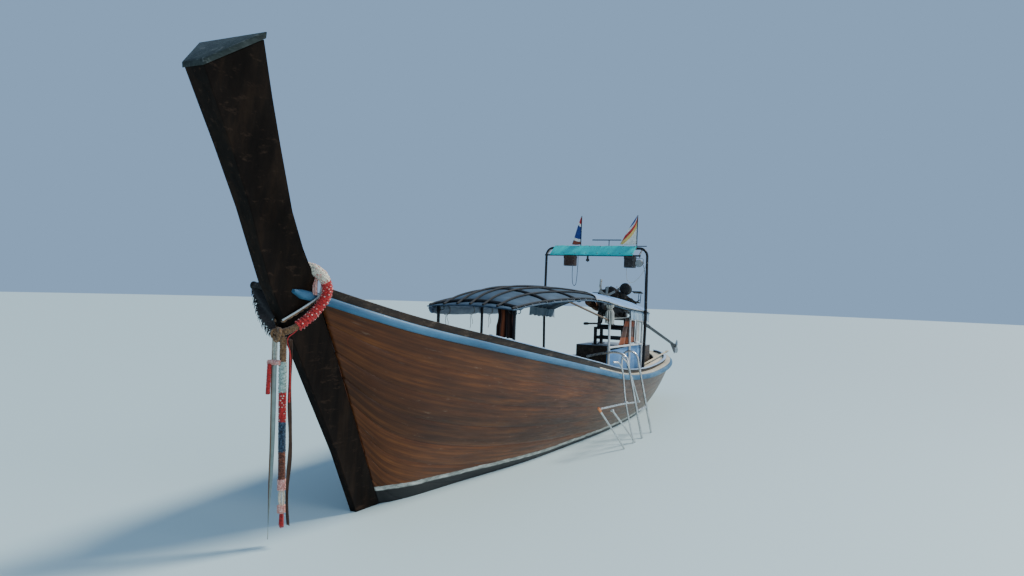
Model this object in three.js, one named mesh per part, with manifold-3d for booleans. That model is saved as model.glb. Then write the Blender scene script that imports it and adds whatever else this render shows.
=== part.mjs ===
// Longtail passenger boat. Millimetres; +X to the bow, +Y to port, +Z up.
// The origin is on the centreline amidships, at the waterline.
import * as THREE from "three";
import Module from "manifold-3d";
import { mergeVertices } from "three/addons/utils/BufferGeometryUtils.js";

const wasm = await Module();
wasm.setup();
const group = new THREE.Group();
const V = (x, y, z) => new THREE.Vector3(x, y, z);
const rad = (d) => (d * Math.PI) / 180;
const GAP = 0.35; // clear space between pieces that touch
const PLANK = 24; // thickness of the planking
const HULL_N = 40; // stations along the hull
const POST_HALF = 30; // half width of the keel, stem foot and stern post

// A closed body through rings of points; fan ends for convex rings, strip ends for thin folded ones.
function loft(rings, folded = false) {
  const n = rings[0].length;
  const pos = rings.flat().flatMap((p) => [p.x, p.y, p.z]);
  const idx = [];
  for (let i = 0; i + 1 < rings.length; i++)
    for (let j = 0; j < n; j++) {
      const a = i * n + j, b = i * n + ((j + 1) % n), c = a + n, d = b + n;
      idx.push(a, b, d, a, d, c);
    }
  const end = (base, flip) => {
    const tri = (a, b, c) => idx.push(base + a, base + (flip ? c : b), base + (flip ? b : c));
    if (!folded) for (let j = 1; j + 1 < n; j++) tri(0, j + 1, j);
    else for (let j = 0; j < n / 2 - 1; j++) { tri(j, n - 2 - j, j + 1); tri(j, n - 1 - j, n - 2 - j); }
  };
  end(0, false);
  end((rings.length - 1) * n, true);
  const g = new THREE.BufferGeometry();
  g.setAttribute("position", new THREE.Float32BufferAttribute(pos, 3));
  g.setIndex(idx);
  return g;
}

function solid(geometry) {
  const bare = geometry.index ? geometry.toNonIndexed() : geometry.clone();
  bare.deleteAttribute("normal");
  bare.deleteAttribute("uv");
  const g = mergeVertices(bare, 1e-3);
  const m = new wasm.Manifold(new wasm.Mesh({
    numProp: 3,
    vertProperties: new Float32Array(g.attributes.position.array),
    triVerts: new Uint32Array(g.index.array),
  }));
  if (m.volume() >= 0) return m;
  const t = Array.from(g.index.array);
  for (let i = 0; i < t.length; i += 3) [t[i + 1], t[i + 2]] = [t[i + 2], t[i + 1]];
  return new wasm.Manifold(new wasm.Mesh({
    numProp: 3,
    vertProperties: new Float32Array(g.attributes.position.array),
    triVerts: new Uint32Array(t),
  }));
}
const union = (list) => list.map((g) => (g.isBufferGeometry ? solid(g) : g)).reduce((a, b) => a.add(b));

function put(name, what) {
  const m = what.isBufferGeometry ? solid(what) : what;
  const mesh = m.getMesh();
  const g = new THREE.BufferGeometry();
  const points = [];
  for (let i = 0; i < mesh.vertProperties.length; i += mesh.numProp)
    points.push(mesh.vertProperties[i], mesh.vertProperties[i + 1], mesh.vertProperties[i + 2]);
  g.setAttribute("position", new THREE.Float32BufferAttribute(points, 3));
  g.setIndex(Array.from(mesh.triVerts));
  const node = new THREE.Mesh(g, new THREE.MeshStandardMaterial());
  node.name = name;
  group.add(node);
}

function box(x0, x1, y0, y1, z0, z1) {
  return new THREE.BoxGeometry(x1 - x0, y1 - y0, z1 - z0)
    .translate((x0 + x1) / 2, (y0 + y1) / 2, (z0 + z1) / 2);
}
// A round bar through points, its section kept square to the path.
function bar(points, radius, sides = 8) {
  const rings = [];
  let u = null;
  points.forEach((p, i) => {
    const before = points[Math.max(i - 1, 0)], after = points[Math.min(i + 1, points.length - 1)];
    const dir = after.clone().sub(before).normalize();
    if (!u) u = Math.abs(dir.z) < 0.9 ? V(0, 0, 1) : V(0, 1, 0);
    u = u.clone().addScaledVector(dir, -u.dot(dir)).normalize();
    const w = dir.clone().cross(u);
    const r = Array.isArray(radius) ? radius[i] : radius;
    const inTurn = i === 0 || i === points.length - 1 ? 1
      : 1 / Math.max(0.6, Math.cos(after.clone().sub(p).angleTo(p.clone().sub(before)) / 2));
    rings.push(Array.from({ length: sides }, (_, k) => {
      const a = (2 * Math.PI * (k + 0.5)) / sides;
      const [across, up] = [r * inTurn * Math.cos(a), r * inTurn * Math.sin(a)];
      return p.clone().addScaledVector(u, across).addScaledVector(w, up);
    }));
  });
  return loft(rings);
}
const smooth = (points, n) => new THREE.CatmullRomCurve3(points, false, "centripetal").getPoints(n);

// Hull lines, port side, from the stem seam to the stern post. Columns: the sheer x, y, z, the bilge
// control x, y, z, and the keel rabbet x, z.
const LINES = [
  [4090, 80, 1575, 3620, 65, 660, 3160, -250],
  [3800, 290, 1468, 3440, 160, 340, 3020, -280],
  [3420, 430, 1365, 3140, 240, 140, 2820, -295],
  [2500, 610, 1185, 2420, 320, -80, 2300, -305],
  [1500, 712, 1008, 1470, 530, -180, 1420, -310],
  [550, 770, 845, 530, 600, -225, 500, -310],
  [-400, 805, 690, -400, 640, -240, -400, -310],
  [-1370, 805, 618, -1350, 620, -230, -1300, -300],
  [-2350, 755, 618, -2280, 530, -180, -2150, -265],
  [-3050, 650, 626, -2900, 450, -80, -2700, -215],
  [-3550, 510, 640, -3320, 350, 40, -3080, -155],
  [-3900, 330, 655, -3600, 210, 140, -3320, -105],
  [-4070, 130, 664, -3730, 90, 190, -3420, -75],
  [-4100, POST_HALF, 666, -3760, POST_HALF, 200, -3450, -65],
];
const curve = (pick) => new THREE.CatmullRomCurve3(LINES.map(pick), false, "centripetal");
const sheerCurve = curve((r) => V(r[0], r[1], r[2]));
const bilgeCurve = curve((r) => V(r[3], r[4], r[5]));
const keelCurve = curve((r) => V(r[6], POST_HALF, r[7]));
function hullPoint(t, v) {
  const k = keelCurve.getPoint(t), c = bilgeCurve.getPoint(t), s = sheerCurve.getPoint(t);
  return k.multiplyScalar((1 - v) ** 2).addScaledVector(c, 2 * v * (1 - v)).addScaledVector(s, v * v);
}
function hullNormal(t, v) {
  const e = 1e-3;
  const along = hullPoint(Math.min(1, t + e), v).sub(hullPoint(Math.max(0, t - e), v));
  const up = hullPoint(t, Math.min(1, v + e)).sub(hullPoint(t, Math.max(0, v - e)));
  return along.cross(up).normalize();
}
// Level direction square to the sheer, pointing out.
function sheerOut(t) {
  if (t > 0.999) return V(-1, 0, 0);
  const d = sheerCurve.getTangent(t), out = V(d.y, -d.x, 0).normalize();
  return out.y < 0 ? out.negate() : out;
}
// A layer of the port side between two depths inside the outer face, mirrored for starboard.
function layer(side, t0, t1, nt, v0, v1, nv, out, inn) {
  const rings = [];
  for (let i = 0; i <= nt; i++) {
    const t = t0 + ((t1 - t0) * i) / nt;
    const row = (depth) => Array.from({ length: nv + 1 }, (_, j) => {
      const v = v0 + ((v1 - v0) * j) / nv, n = hullNormal(t, v);
      if (t > 0.999) n.setY(0).normalize();
      if (v > 0.999) n.copy(sheerOut(t)); // the top edge is level
      const p = hullPoint(t, v).addScaledVector(n, -depth);
      return V(p.x, side * Math.max(p.y, POST_HALF + GAP), p.z);
    });
    rings.push([...row(out), ...row(inn).reverse()]);
  }
  return loft(rings, true);
}
// Where a value that rises from 0 to 1 first passes a limit.
function find(past) {
  let lo = 0, hi = 1;
  for (let i = 0; i < 40; i++) {
    const mid = (lo + hi) / 2;
    if (past(mid)) hi = mid;
    else lo = mid;
  }
  return (lo + hi) / 2;
}
const sheerT = (x) => find((t) => sheerCurve.getPoint(t).x <= x);
// Half the breadth inside the planking at a place along the boat and a height.
function inside(x, z) {
  let best = 0;
  let t = sheerT(x);
  for (let k = 0; k < 12; k++) {
    const v = find((u) => hullPoint(t, u).z >= z), p = hullPoint(t, v);
    best = p.y - PLANK / Math.max(0.3, Math.abs(hullNormal(t, v).y));
    t = Math.min(1, Math.max(0, t + (p.x - x) / 14000));
  }
  return best;
}
// A strip that follows the sheer: plan offsets (out is +) and heights from it, given as functions of x.
function follow(side, x0, x1, off, z, ahead = []) {
  const t0 = sheerT(x0), t1 = sheerT(x1);
  const rings = ahead.map((ring) => ring.map((p) => V(p.x, side * p.y, p.z)));
  for (const t of Array.from({ length: HULL_N + 1 }, (_, i) => i / HULL_N)) {
    if (t < t0 - 0.001 || t > t1 + 0.001) continue;
    const s = sheerCurve.getPoint(t), out = sheerOut(t);
    const [o0, o1] = off(s.x), [z0, z1] = z(s.x);
    const at = (o, h) => {
      const p = s.clone().addScaledVector(out, o);
      return V(p.x, side * Math.max(p.y, GAP / 2), s.z + h);
    };
    rings.push([at(o0, z0), at(o1, z0), at(o1, z1), at(o0, z1)]);
  }
  return loft(rings);
}
const step = (x, x0, x1, a, b) => a + (b - a) * Math.min(1, Math.max(0, (x0 - x) / (x0 - x1)));

// Planking: bottom planks to the turn of the bilge, butted under the aft thwart, and side planks to
// the sheer. Columns: name, from and to along the hull, stations, from and to up the girth.
const sides = [["port", 1], ["starboard", -1]];
const BANDS = [
  ["fore_planks", 0, 0.4, 16, 0, 0.4998],
  ["aft_planks", 0.40005, 1, 24, 0, 0.4998],
  ["side_planks", 0, 1, HULL_N, 0.5018, 1],
];
for (const [name, t0, t1, n, v0, v1] of BANDS)
  for (const [side, s] of sides) put(`${name}_${side}`, layer(s, t0, t1, n, v0, v1, 4, 0, PLANK));

// What is left of a piece inside the planking.
const planks = [1, -1].map((s) => solid(layer(s, 0, 1, HULL_N, 0, 1, 8, -70, PLANK + GAP)));
function cut(piece, ...tools) {
  const left = tools.reduce((a, b) => a.subtract(b), union([piece])).decompose();
  return left.sort((a, b) => b.volume() - a.volume())[0];
}
const trimmed = (piece) => cut(piece, ...planks).simplify(0.2);

// Keel and stern post, one side view each, sawn to the same width.
function sawn(outline, half) {
  const shape = new THREE.Shape(outline.map(([x, z]) => new THREE.Vector2(x, z)));
  return new THREE.ExtrudeGeometry(shape, { depth: 2 * half, bevelEnabled: false, curveSegments: 4 })
    .rotateX(Math.PI / 2).translate(0, half, 0);
}
const keelRun = Array.from({ length: 15 }, (_, i) => keelCurve.getPoint(i / 14));
put("keel", sawn([
  ...keelRun.map((p) => [p.x, p.z + 22]),
  ...keelRun.map((p) => [p.x, p.z - 55]).reverse(),
], POST_HALF - 0.01));
put("stern_post", sawn([
  [-3451, -31], [-3451, -120], [-3530, -110], [-3700, 130], [-3900, 420], [-4130, 665],
  [-4076, 665], [-3850, 420], [-3660, 130], [-3520, -31],
], POST_HALF));

// Stem timber with the tall flared head. Columns: front x, z and half width, back x, z and half width.
const STEM = [
  [3340, -306, 28, 3163, -250, 29.5],
  [3450, -150, 28, 3213, -150, 35],
  [3542, 0, 28, 3289, 0, 42],
  [3775, 461, 30, 3524, 461, 57],
  [3998, 837, 32, 3715, 837, 66],
  [4224, 1225, 36, 3913, 1225, 72],
  [4400, 1500, 42, 4055, 1500, 76],
  [4440, 1572, 44, 4092, 1578, 79],
  [4484, 1637, 46, 4149, 1650, 118],
  [4580, 1860, 52, 4319, 1860, 152],
  [4670, 2075, 58, 4439, 2075, 168],
  [4840, 2415, 66, 4579, 2430, 194],
  [4950, 2620, 70, 4689, 2700, 222],
  [5045, 2800, 74, 4799, 2990, 254],
];
const SEAM = 0.6; // the back of the stem goes this much further aft, up to the ends of the planks
const stem = (grow) => loft(STEM.map(([fx, fz, fw, bx, bz, bw]) => [V(fx + grow, -fw - grow, fz),
  V(fx + grow, fw + grow, fz), V(bx - SEAM - grow, bw + grow, bz), V(bx - SEAM - grow, -bw - grow, bz)]));
put("stem", stem(0));
const neck = solid(stem(GAP));
// Board on the sloping top of the head, a little proud of it all round.
{
  const [fx, fz, fw, bx, bz, bw] = STEM[STEM.length - 1];
  const slope = (bz - fz) / (bx - fx);
  const ring = (lift, grow) => [
    V(fx + grow, -fw - grow, fz + slope * grow + lift), V(fx + grow, fw + grow, fz + slope * grow + lift),
    V(bx - grow, bw + grow, bz - slope * grow + lift), V(bx - grow, -bw - grow, bz - slope * grow + lift),
  ];
  put("stem_cap", loft([ring(0.6, 8), ring(34, 10), ring(40, 4)]));
}

// Rub rails along the sheer, and the low coaming above with its cap.
const DECK_X = 450; // side decks run aft from here
const DECK_T = 18;
const deckIn = (x) => step(x, 300, -1800, -150, -250); // inner edge of the side deck
// The rub rails run on along the neck of the stem. Columns: x, inner y, lower z.
const RAIL_HEAD = [[4385, 48, 1571], [4240, 62, 1543]]
  .map(([x, y, z]) => [V(x, y, z), V(x, y + 44, z), V(x, y + 44, z + 60), V(x, y, z + 60)]);
for (const [name, s] of sides) {
  put(`rub_rail_${name}`, cut(follow(s, 4090, -4100, () => [GAP, 36], () => [-58, 2], RAIL_HEAD), neck));
  const inboard = (x) => step(x, 900, -1200, -2, -66);
  put(`coaming_${name}`, follow(s, 4060, -4020, (x) => [inboard(x) - 20, inboard(x)],
    (x) => [step(x, DECK_X + 260, DECK_X + 30, GAP, DECK_T + 2 * GAP), step(x, 0, -3900, 62, 44)]));
  put(`side_deck_${name}`, follow(s, DECK_X, -4100, (x) => [deckIn(x), 0], () => [GAP, DECK_T]));
}
const strips = [(x) => [deckIn(x), 0], (x) => [deckIn(x) - 40, deckIn(x) + 1]];
const decks = sides.flatMap(([, s]) =>
  strips.map((edges) => solid(follow(s, DECK_X, -4100, edges, () => [-90, DECK_T + GAP]))));

// Fore deck between the planks, behind the stem.
{
  const rings = [];
  for (let i = 0; i <= 8; i++) {
    const s = sheerCurve.getPoint(sheerT(3960 - (860 * i) / 8));
    const a = inside(s.x, s.z - 40) + 6, b = inside(s.x, s.z - 18) + 6;
    rings.push([V(s.x, -a, s.z - 40), V(s.x, a, s.z - 40), V(s.x, b, s.z - 18), V(s.x, -b, s.z - 18)]);
  }
  put("fore_deck", trimmed(loft(rings)));
}

// Keelson, and ribs that lie on the planking and cross over it, each with a floor timber.
const FLOOR_Z = -70; // underside of the floor boards
{
  const top = keelRun.filter((p) => p.x < 2650 && p.x > -3000);
  const keelson = (grow) => sawn([...top.map((p) => [p.x, p.z + 84 + grow]),
    ...top.map((p) => [p.x, p.z + 28 - 60 * Math.sign(grow)]).reverse()], 50 + grow);
  put("keelson", trimmed(keelson(0)));
  [["fore", 2400], ["waist", 1400], ["middle", 350], ["after", -500], ["quarter", -1370], ["stern", -2300]]
    .forEach(([name, x]) => {
      const t = sheerT(x), k = keelCurve.getPoint(t);
      const parts = [box(k.x - 20, k.x + 20, -130, 130, k.z + 88, FLOOR_Z - GAP)];
      for (const s of [1, -1])
        parts.push(layer(s, t - 0.0024, t + 0.0024, 1, 0.06, 0.875, 7, PLANK - 8, PLANK + 34));
      put(`rib_${name}`, cut(union(parts), ...planks, solid(keelson(GAP))).simplify(0.2));
    });
}

// Floor boards and three thwarts that reach the planking.
function across(x0, x1, z0, z1, n, clear) {
  const rings = [];
  for (let i = 0; i <= n; i++) {
    const x = x0 + ((x1 - x0) * i) / n, a = inside(x, z0) - clear, b = inside(x, z1) - clear;
    rings.push([V(x, -a, z0), V(x, a, z0), V(x, b, z1), V(x, -b, z1)]);
  }
  return loft(rings);
}
put("floor_boards", trimmed(across(2050, -2650, FLOOR_Z, FLOOR_Z + 20, 12, 92)));
const THWARTS = [["fore", 2960, 2760, 1050], ["middle", 1960, 1740, 870], ["aft", 760, 560, 690]];
for (const [name, x0, x1, z] of THWARTS) put(`thwart_${name}`, trimmed(across(x0, x1, z, z + 26, 2, -8)));

// Canopy: a thin roof, high in the middle, on posts. Columns: x, half width, crown z, edge z.
const ROOF = [
  [1930, 450, 1500, 1480],
  [1700, 475, 1585, 1505],
  [1430, 500, 1640, 1530],
  [1050, 550, 1678, 1553],
  [410, 620, 1688, 1567],
  [-40, 660, 1676, 1540],
  [-380, 675, 1660, 1495],
  [-985, 682, 1625, 1440],
  [-1740, 682, 1572, 1392],
];
const roofCurve = new THREE.CatmullRomCurve3(ROOF.map(([x, w, c]) => V(x, w, c)), false, "centripetal");
const edgeCurve = new THREE.CatmullRomCurve3(ROOF.map(([x, w, , e]) => V(x, w, e)), false, "centripetal");
const roofT = (x) => find((t) => roofCurve.getPoint(t).x <= x);
const roofHalf = (x) => roofCurve.getPoint(roofT(x)).y;
function roofZ(x, y) {
  const t = roofT(x), c = roofCurve.getPoint(t), e = edgeCurve.getPoint(t);
  return c.z - (c.z - e.z) * (y / c.y) ** 2;
}
const ROOF_T = 10;
const FRAME_LOW = ROOF_T + 34; // the hoops reach this far below the top of the roof
function roofStrip(x0, x1, n, y0, y1, m, drop0, drop1) {
  const rings = [];
  for (let i = 0; i <= n; i++) {
    const x = x0 + ((x1 - x0) * i) / n;
    const row = (drop) => Array.from({ length: m + 1 }, (_, j) => {
      const f0 = typeof y0 === "function" ? y0(x) : y0, f1 = typeof y1 === "function" ? y1(x) : y1;
      const y = f0 + ((f1 - f0) * j) / m;
      return V(x, y, roofZ(x, y) - drop);
    });
    rings.push([...row(drop0), ...row(drop1).reverse()]);
  }
  return loft(rings, true);
}
const roof = (drop0, drop1) =>
  solid(roofStrip(1930, -1740, 16, (x) => -roofHalf(x), (x) => roofHalf(x), 8, drop0, drop1));
const hoop = (x, drop0, drop1) =>
  roofStrip(x + 16, x - 16, 1, -roofHalf(x) + 6, roofHalf(x) - 6, 6, drop0, drop1);
put("canopy_roof", roof(0, ROOF_T));
// Hoops across and battens along, let into one frame under the roof. The dark posts stand on the
// thwarts forward and on the starboard side deck aft. Columns: name, x, y, foot.
const POSTS = [
  ["fore_port", 1800, 405, 896 + GAP],
  ["fore_starboard", 1800, -405, 896 + GAP],
  ["middle", 660, -545, 716 + GAP],
  ["quarter", -200, -644, 600],
];
const POST_R = 11; // half the thickness of a dark post
const RAIL_POSTS = [-200, -1000, -1520]; // x of the white posts on the port side
{
  const hoops = [1800, 1250, 660, -200, -860, -1520].map((x) => hoop(x, ROOF_T - 4, FRAME_LOW));
  const battens = [-0.96, -0.62, -0.3, 0, 0.3, 0.62, 0.96].map((f) => roofStrip(1915, -1720, 8,
    (x) => f * roofHalf(x) - 11, (x) => f * roofHalf(x) + 11, 1, ROOF_T - 6, FRAME_LOW - 10));
  put("canopy_frame", union([...hoops, ...battens]).subtract(roof(-80, ROOF_T + 2 * GAP)).simplify(0.1));
}
const underHoop = (x) => solid(hoop(x, -80, FRAME_LOW + GAP));
const post = (x, y, half, low, high) => box(x - half, x + half, y - half, y + half, low, high);
for (const [name, x, y, foot] of POSTS)
  put(`post_${name}`, cut(post(x, y, POST_R, foot, roofZ(x, y) + 20), underHoop(x), ...decks));
// White posts aft on the port side, welded to a rail and to the brace that holds the roof forward of
// them, and the blue panel below the rail.
{
  const y = 644, r = 14, parts = [];
  const underBatten = solid(roofStrip(1915, -1720, 8, (x) => 0.8 * roofHalf(x), roofHalf, 1,
    -80, FRAME_LOW - 9));
  for (const x of RAIL_POSTS) parts.push(bar([V(x, y, 600), V(x, y, roofZ(x, y) - 5)], r, 8));
  parts.push(bar([V(-200, y, 1003), V(-1000, y, 986), V(-1520, y, 972)], 12, 8));
  parts.push(bar([V(-200, y, 1310), V(870, 552, roofZ(870, 552) - 20)], 10, 8));
  put("rail_frame", cut(union(parts), ...decks, underBatten, ...[-200, -1520].map(underHoop)));
  const face = y - r * Math.cos(Math.PI / 8) - GAP;
  put("side_panel", cut(box(-1510, -190, face - 10, face, 600, 965), ...decks));
}

// Pipe arch aft of the canopy, with its top board, crossbars, flag staffs and the thin bar above.
const ARCH_X = -1450;
{
  const leg = (s) => [V(ARCH_X, s * 698, 600), V(ARCH_X, s * 712, 1300), V(ARCH_X, s * 705, 2100),
    V(ARCH_X, s * 682, 2160), V(ARCH_X, s * 652, 2195), V(ARCH_X, s * 600, 2208)];
  const hoop = bar([...leg(-1), ...leg(1).reverse()], 17, 8);
  const lower = bar([V(ARCH_X + 150, -660, 2105), V(ARCH_X + 150, 660, 2105)], 11, 6);
  const ties = [-1, 1].flatMap((s) => [
    bar([V(ARCH_X, s * 640, 2200), V(ARCH_X + 150, s * 640, 2105)], 9, 6),
  ]);
  const staffs = [[-215, 2640], [558, 2642]].map(([y, z]) =>
    bar([V(ARCH_X - 12, y, 2198), V(ARCH_X - 16, y, z)], 6, 6));
  const tee = [bar([V(ARCH_X - 12, 180, 2198), V(ARCH_X - 14, 180, 2318)], 6, 6),
    bar([V(ARCH_X - 14, -53, 2318), V(ARCH_X - 14, 346, 2318)], 7, 6),
    bar([V(ARCH_X - 13, 545, 2238), V(ARCH_X - 13, 690, 2238)], 6, 6)];
  put("arch_frame", cut(union([hoop, lower, ...ties, ...staffs, ...tee]), ...decks));
  const board = (y) => [[170.9, 2103.6], [177.9, 2113.6], [6.9, 2239.6], [-0.1, 2229.6]]
    .map(([x, z]) => V(ARCH_X + x, y, z));
  put("arch_board", loft([board(-580), board(560)]));
}
const HANG_Z = 2105 - 11 * Math.cos(Math.PI / 6) - GAP; // under the lower crossbar
put("horn_box_starboard", box(ARCH_X + 90, ARCH_X + 210, -372, -222, 1962, HANG_Z));
put("horn_box_port", box(ARCH_X + 90, ARCH_X + 210, 456, 590, 1951, HANG_Z));
put("spotlight", union([
  bar([V(ARCH_X + 70, 650, 2020), V(ARCH_X + 190, 650, 2008)], [28, 48], 12),
  bar([V(ARCH_X + 150, 650, 2025), V(ARCH_X + 150, 650, HANG_Z)], 8, 8),
]));
// Pennants on the two staffs. Columns: y and z of the corners.
const FLAGS = [
  ["starboard", [[-220.55, 2630], [-220.55, 2258], [-343, 2258], [-292, 2430]]],
  ["port", [[552.45, 2632], [552.45, 2262], [330, 2262], [426, 2440]]],
];
for (const [side, corners] of FLAGS)
  put(`flag_${side}`, loft([-17, -13].map((x) => corners.map(([y, z]) => V(ARCH_X + x, y, z)))));

// Boxed platform in the aft cockpit that the engine stand is bolted to, open behind.
const BED_Z = 880;
put("engine_platform", union([
  box(-2760, -1950, -420, 420, BED_Z - 24, BED_Z),
  box(-1974, -1950, -420, 420, 330, BED_Z - 10),
  ...[-1, 1].flatMap((s) => [box(-2760, -1950, s * 410 - 10, s * 410 + 10, 330, BED_Z - 10),
    box(-2640, -2580, s * 200 - 20, s * 200 + 20, FLOOR_Z + 20 + GAP, BED_Z - 10),
    box(-2010, -1950, s * 200 - 20, s * 200 + 20, FLOOR_Z + 20 + GAP, 400)]),
]));

// Engine stand of four angle legs with a top plate.
const PIN = V(-2250, 0, 1130); // steering pin
const TRUNNION_Z = 1310;
{
  const parts = [];
  for (const x of [-130, 130]) for (const y of [-200, 200]) {
    parts.push(box(PIN.x + x - 20, PIN.x + x + 20, y - 20, y + 20, BED_Z + GAP, 1110));
    parts.push(box(PIN.x + x - 40, PIN.x + x + 40, y - 40, y + 40, BED_Z + GAP, BED_Z + 9));
  }
  for (const y of [-200, 200]) parts.push(box(PIN.x - 130, PIN.x + 130, y - 12, y + 12, 960, 1000));
  for (const x of [-130, 130]) parts.push(box(PIN.x + x - 12, PIN.x + x + 12, -200, 200, 960, 1000));
  parts.push(box(PIN.x - 150, PIN.x + 150, -220, 220, 1100, PIN.z));
  put("engine_stand", union(parts));
}
// Yoke that turns on the pin and carries the engine between two cheeks.
{
  const parts = [box(PIN.x - 60, PIN.x + 60, -205, 205, PIN.z + GAP, PIN.z + 32)];
  for (const s of [-1, 1])
    parts.push(box(PIN.x - 40, PIN.x + 40, s * 192 - 13, s * 192 + 13, PIN.z + 2, TRUNNION_Z + 45));
  put("swivel_yoke", union(parts));
}

// Engine and tail, laid out level at the trunnion and then turned down by the angle it is left at.
const TAIL_DOWN = 12.7;
const lay = (g) =>
  g.translate(-PIN.x, 0, -TRUNNION_Z).rotateY(-rad(TAIL_DOWN)).translate(PIN.x, 0, TRUNNION_Z);
const SHAFT_Z = TRUNNION_Z + 190;
{
  const parts = [
    box(PIN.x - 250, PIN.x + 310, -120, 120, 1270, 1420),
    box(PIN.x - 250, PIN.x + 290, -150, 150, 1400, 1560),
    box(PIN.x - 230, PIN.x + 270, -110, 110, 1550, 1660),
    bar([V(PIN.x, GAP - 179, TRUNNION_Z), V(PIN.x, 179 - GAP, TRUNNION_Z)], 18, 12),
    bar([V(PIN.x - 240, 0, SHAFT_Z), V(PIN.x - 420, 0, SHAFT_Z)], [125, 60], 16),
    bar([V(PIN.x + 190, -205, 1515), V(PIN.x + 30, -205, 1515)], 62, 12),
    box(PIN.x - 200, PIN.x + 220, 145, 225, 1500, 1580),
    bar([V(PIN.x + 120, 255, 1490), V(PIN.x - 130, 255, 1490)], 55, 12),
  ];
  put("engine_block", lay(meshGeometry(union(parts))));
}
function meshGeometry(m) {
  const mesh = m.getMesh(), g = new THREE.BufferGeometry();
  g.setAttribute("position", new THREE.Float32BufferAttribute(Array.from(mesh.vertProperties), 3));
  g.setIndex(Array.from(mesh.triVerts));
  return g;
}
const CLEANER_R = 80;
const CLEANER_Z = 1580 + GAP + CLEANER_R * Math.cos(Math.PI / 16);
put("air_cleaner", lay(bar([V(PIN.x + 190, 200, CLEANER_Z), V(PIN.x + 70, 200, CLEANER_Z)], CLEANER_R, 16)));
put("exhaust", lay(bar([V(PIN.x + 150, -110.4, 1610), V(PIN.x + 150, -138, 1610), V(PIN.x + 185, -160, 1680),
  V(PIN.x + 205, -150, 1775)], 18, 8)));
const TAIL_END = PIN.x - 3900;
const tube = bar([-421, -700, -3900].map((x) => V(PIN.x + x, 0, SHAFT_Z)), [34, 27, 24], 12);
const fin = sawn([[420, -20], [30, -20], [30, -150], [70, -150]]
  .map(([x, z]) => [TAIL_END + x, SHAFT_Z + z]), 5);
put("tail_tube", lay(meshGeometry(union([tube, fin]))));
put("tiller", lay(bar([V(PIN.x + 250, -60, 1269.6), V(PIN.x + 250, -60, 1165), V(PIN.x + 300, -60, 1118),
  V(PIN.x + 1000, -30, 985)], 13, 8)));
// Two-bladed propeller on its hub.
{
  const parts = [bar([V(TAIL_END - GAP, 0, SHAFT_Z), V(TAIL_END - 110, 0, SHAFT_Z)], [26, 20], 12)];
  for (const a of [0, 180]) {
    const rings = [];
    for (const [r, w, lean] of [[10, 26, 60], [45, 44, 45], [90, 52, 32], [125, 30, 25]]) {
      const c = Math.cos(rad(lean)), s = Math.sin(rad(lean));
      const at = (u, h) => V(TAIL_END - 60 + u * c - h * s, u * s + h * c, r);
      rings.push([at(-w, -3), at(w, -3), at(w, 3), at(-w, 3)]);
    }
    parts.push(loft(rings).rotateX(rad(a)).translate(0, 0, SHAFT_Z));
  }
  put("propeller", lay(meshGeometry(union(parts))));
}

// Boarding ladder hung over the port side.
{
  const parts = [];
  const fall = (x) => [V(x - 2, 870, 900), V(x - 10, 895, 800), V(x - 80, 985, 300), V(x - 180, 1115, -400),
    V(x - 190, 1130, -470)];
  const heads = [[[V(-145, 400, 890), V(-160, 600, 940), V(-168, 780, 955)], -170, 22],
    [[V(-560, 694, 660), V(-560, 697, 880), V(-560, 735, 935), V(-560, 800, 950)], -560, 24]];
  for (const [head, x, n] of heads) parts.push(bar(smooth([...head, ...fall(x)], n), 13, 8));
  for (const z of [310, -80, -440]) {
    const y = 895 + ((800 - z) * 220) / 1200, x = -180 - ((800 - z) * 170) / 1200;
    parts.push(bar([V(x, y, z), V(x - 390, y, z)], 12, 8));
  }
  put("ladder", cut(union(parts), ...decks));
}
// Pole left along the port side deck.
put("pole", bar([V(-1640, 576, 650), V(-3960, 392, 711)], 14, 8));

// Side curtain rolled up along the outer faces of the starboard posts. Columns: x, y, z, radius.
{
  const roll = [[1835, -460, 1424, 48], [660, -604, 1396, 54], [-225, -709, 1386, 56]];
  const posts = POSTS.map(([, x, y]) => solid(post(x, y, POST_R + GAP, 600, 1700)));
  const body = bar(roll.map(([x, y, z]) => V(x, y, z)), roll.map((row) => row[3]), 10);
  put("curtain_roll", cut(body, roof(-80, FRAME_LOW + 2 * GAP), ...posts));
}
// Soft trim hung from the neck of the stem.
const half = [[4200, 130, 1730], [4160, 165, 1690], [4118, 186, 1600], [4178, 148, 1470], [4290, 86, 1365]];
const loop = bar([...half.map(([x, y, z]) => V(x, y, z)), V(4352, 0, 1322),
  ...half.reverse().map(([x, y, z]) => V(x, -y, z))], 34, 8);
put("garland_loop", cut(loop, neck));
const under = solid(loop).translate([0, 0, -GAP]);
put("sash", cut(box(4364, 4372, -36, -12, 30, 1320), solid(loop), under));
put("garland_drop", cut(bar([V(4350, 42, 1320), V(4340, 42, 900), V(4316, 44, 90)], [26, 26, 15], 8),
  solid(loop), under));

export default group;
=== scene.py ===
# A wooden longtail passenger boat, afloat. Metres; +X to the bow, +Y to port, +Z up, water at Z 0.
import math
import random

import bmesh
import bpy
from mathutils import Matrix, Vector


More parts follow.
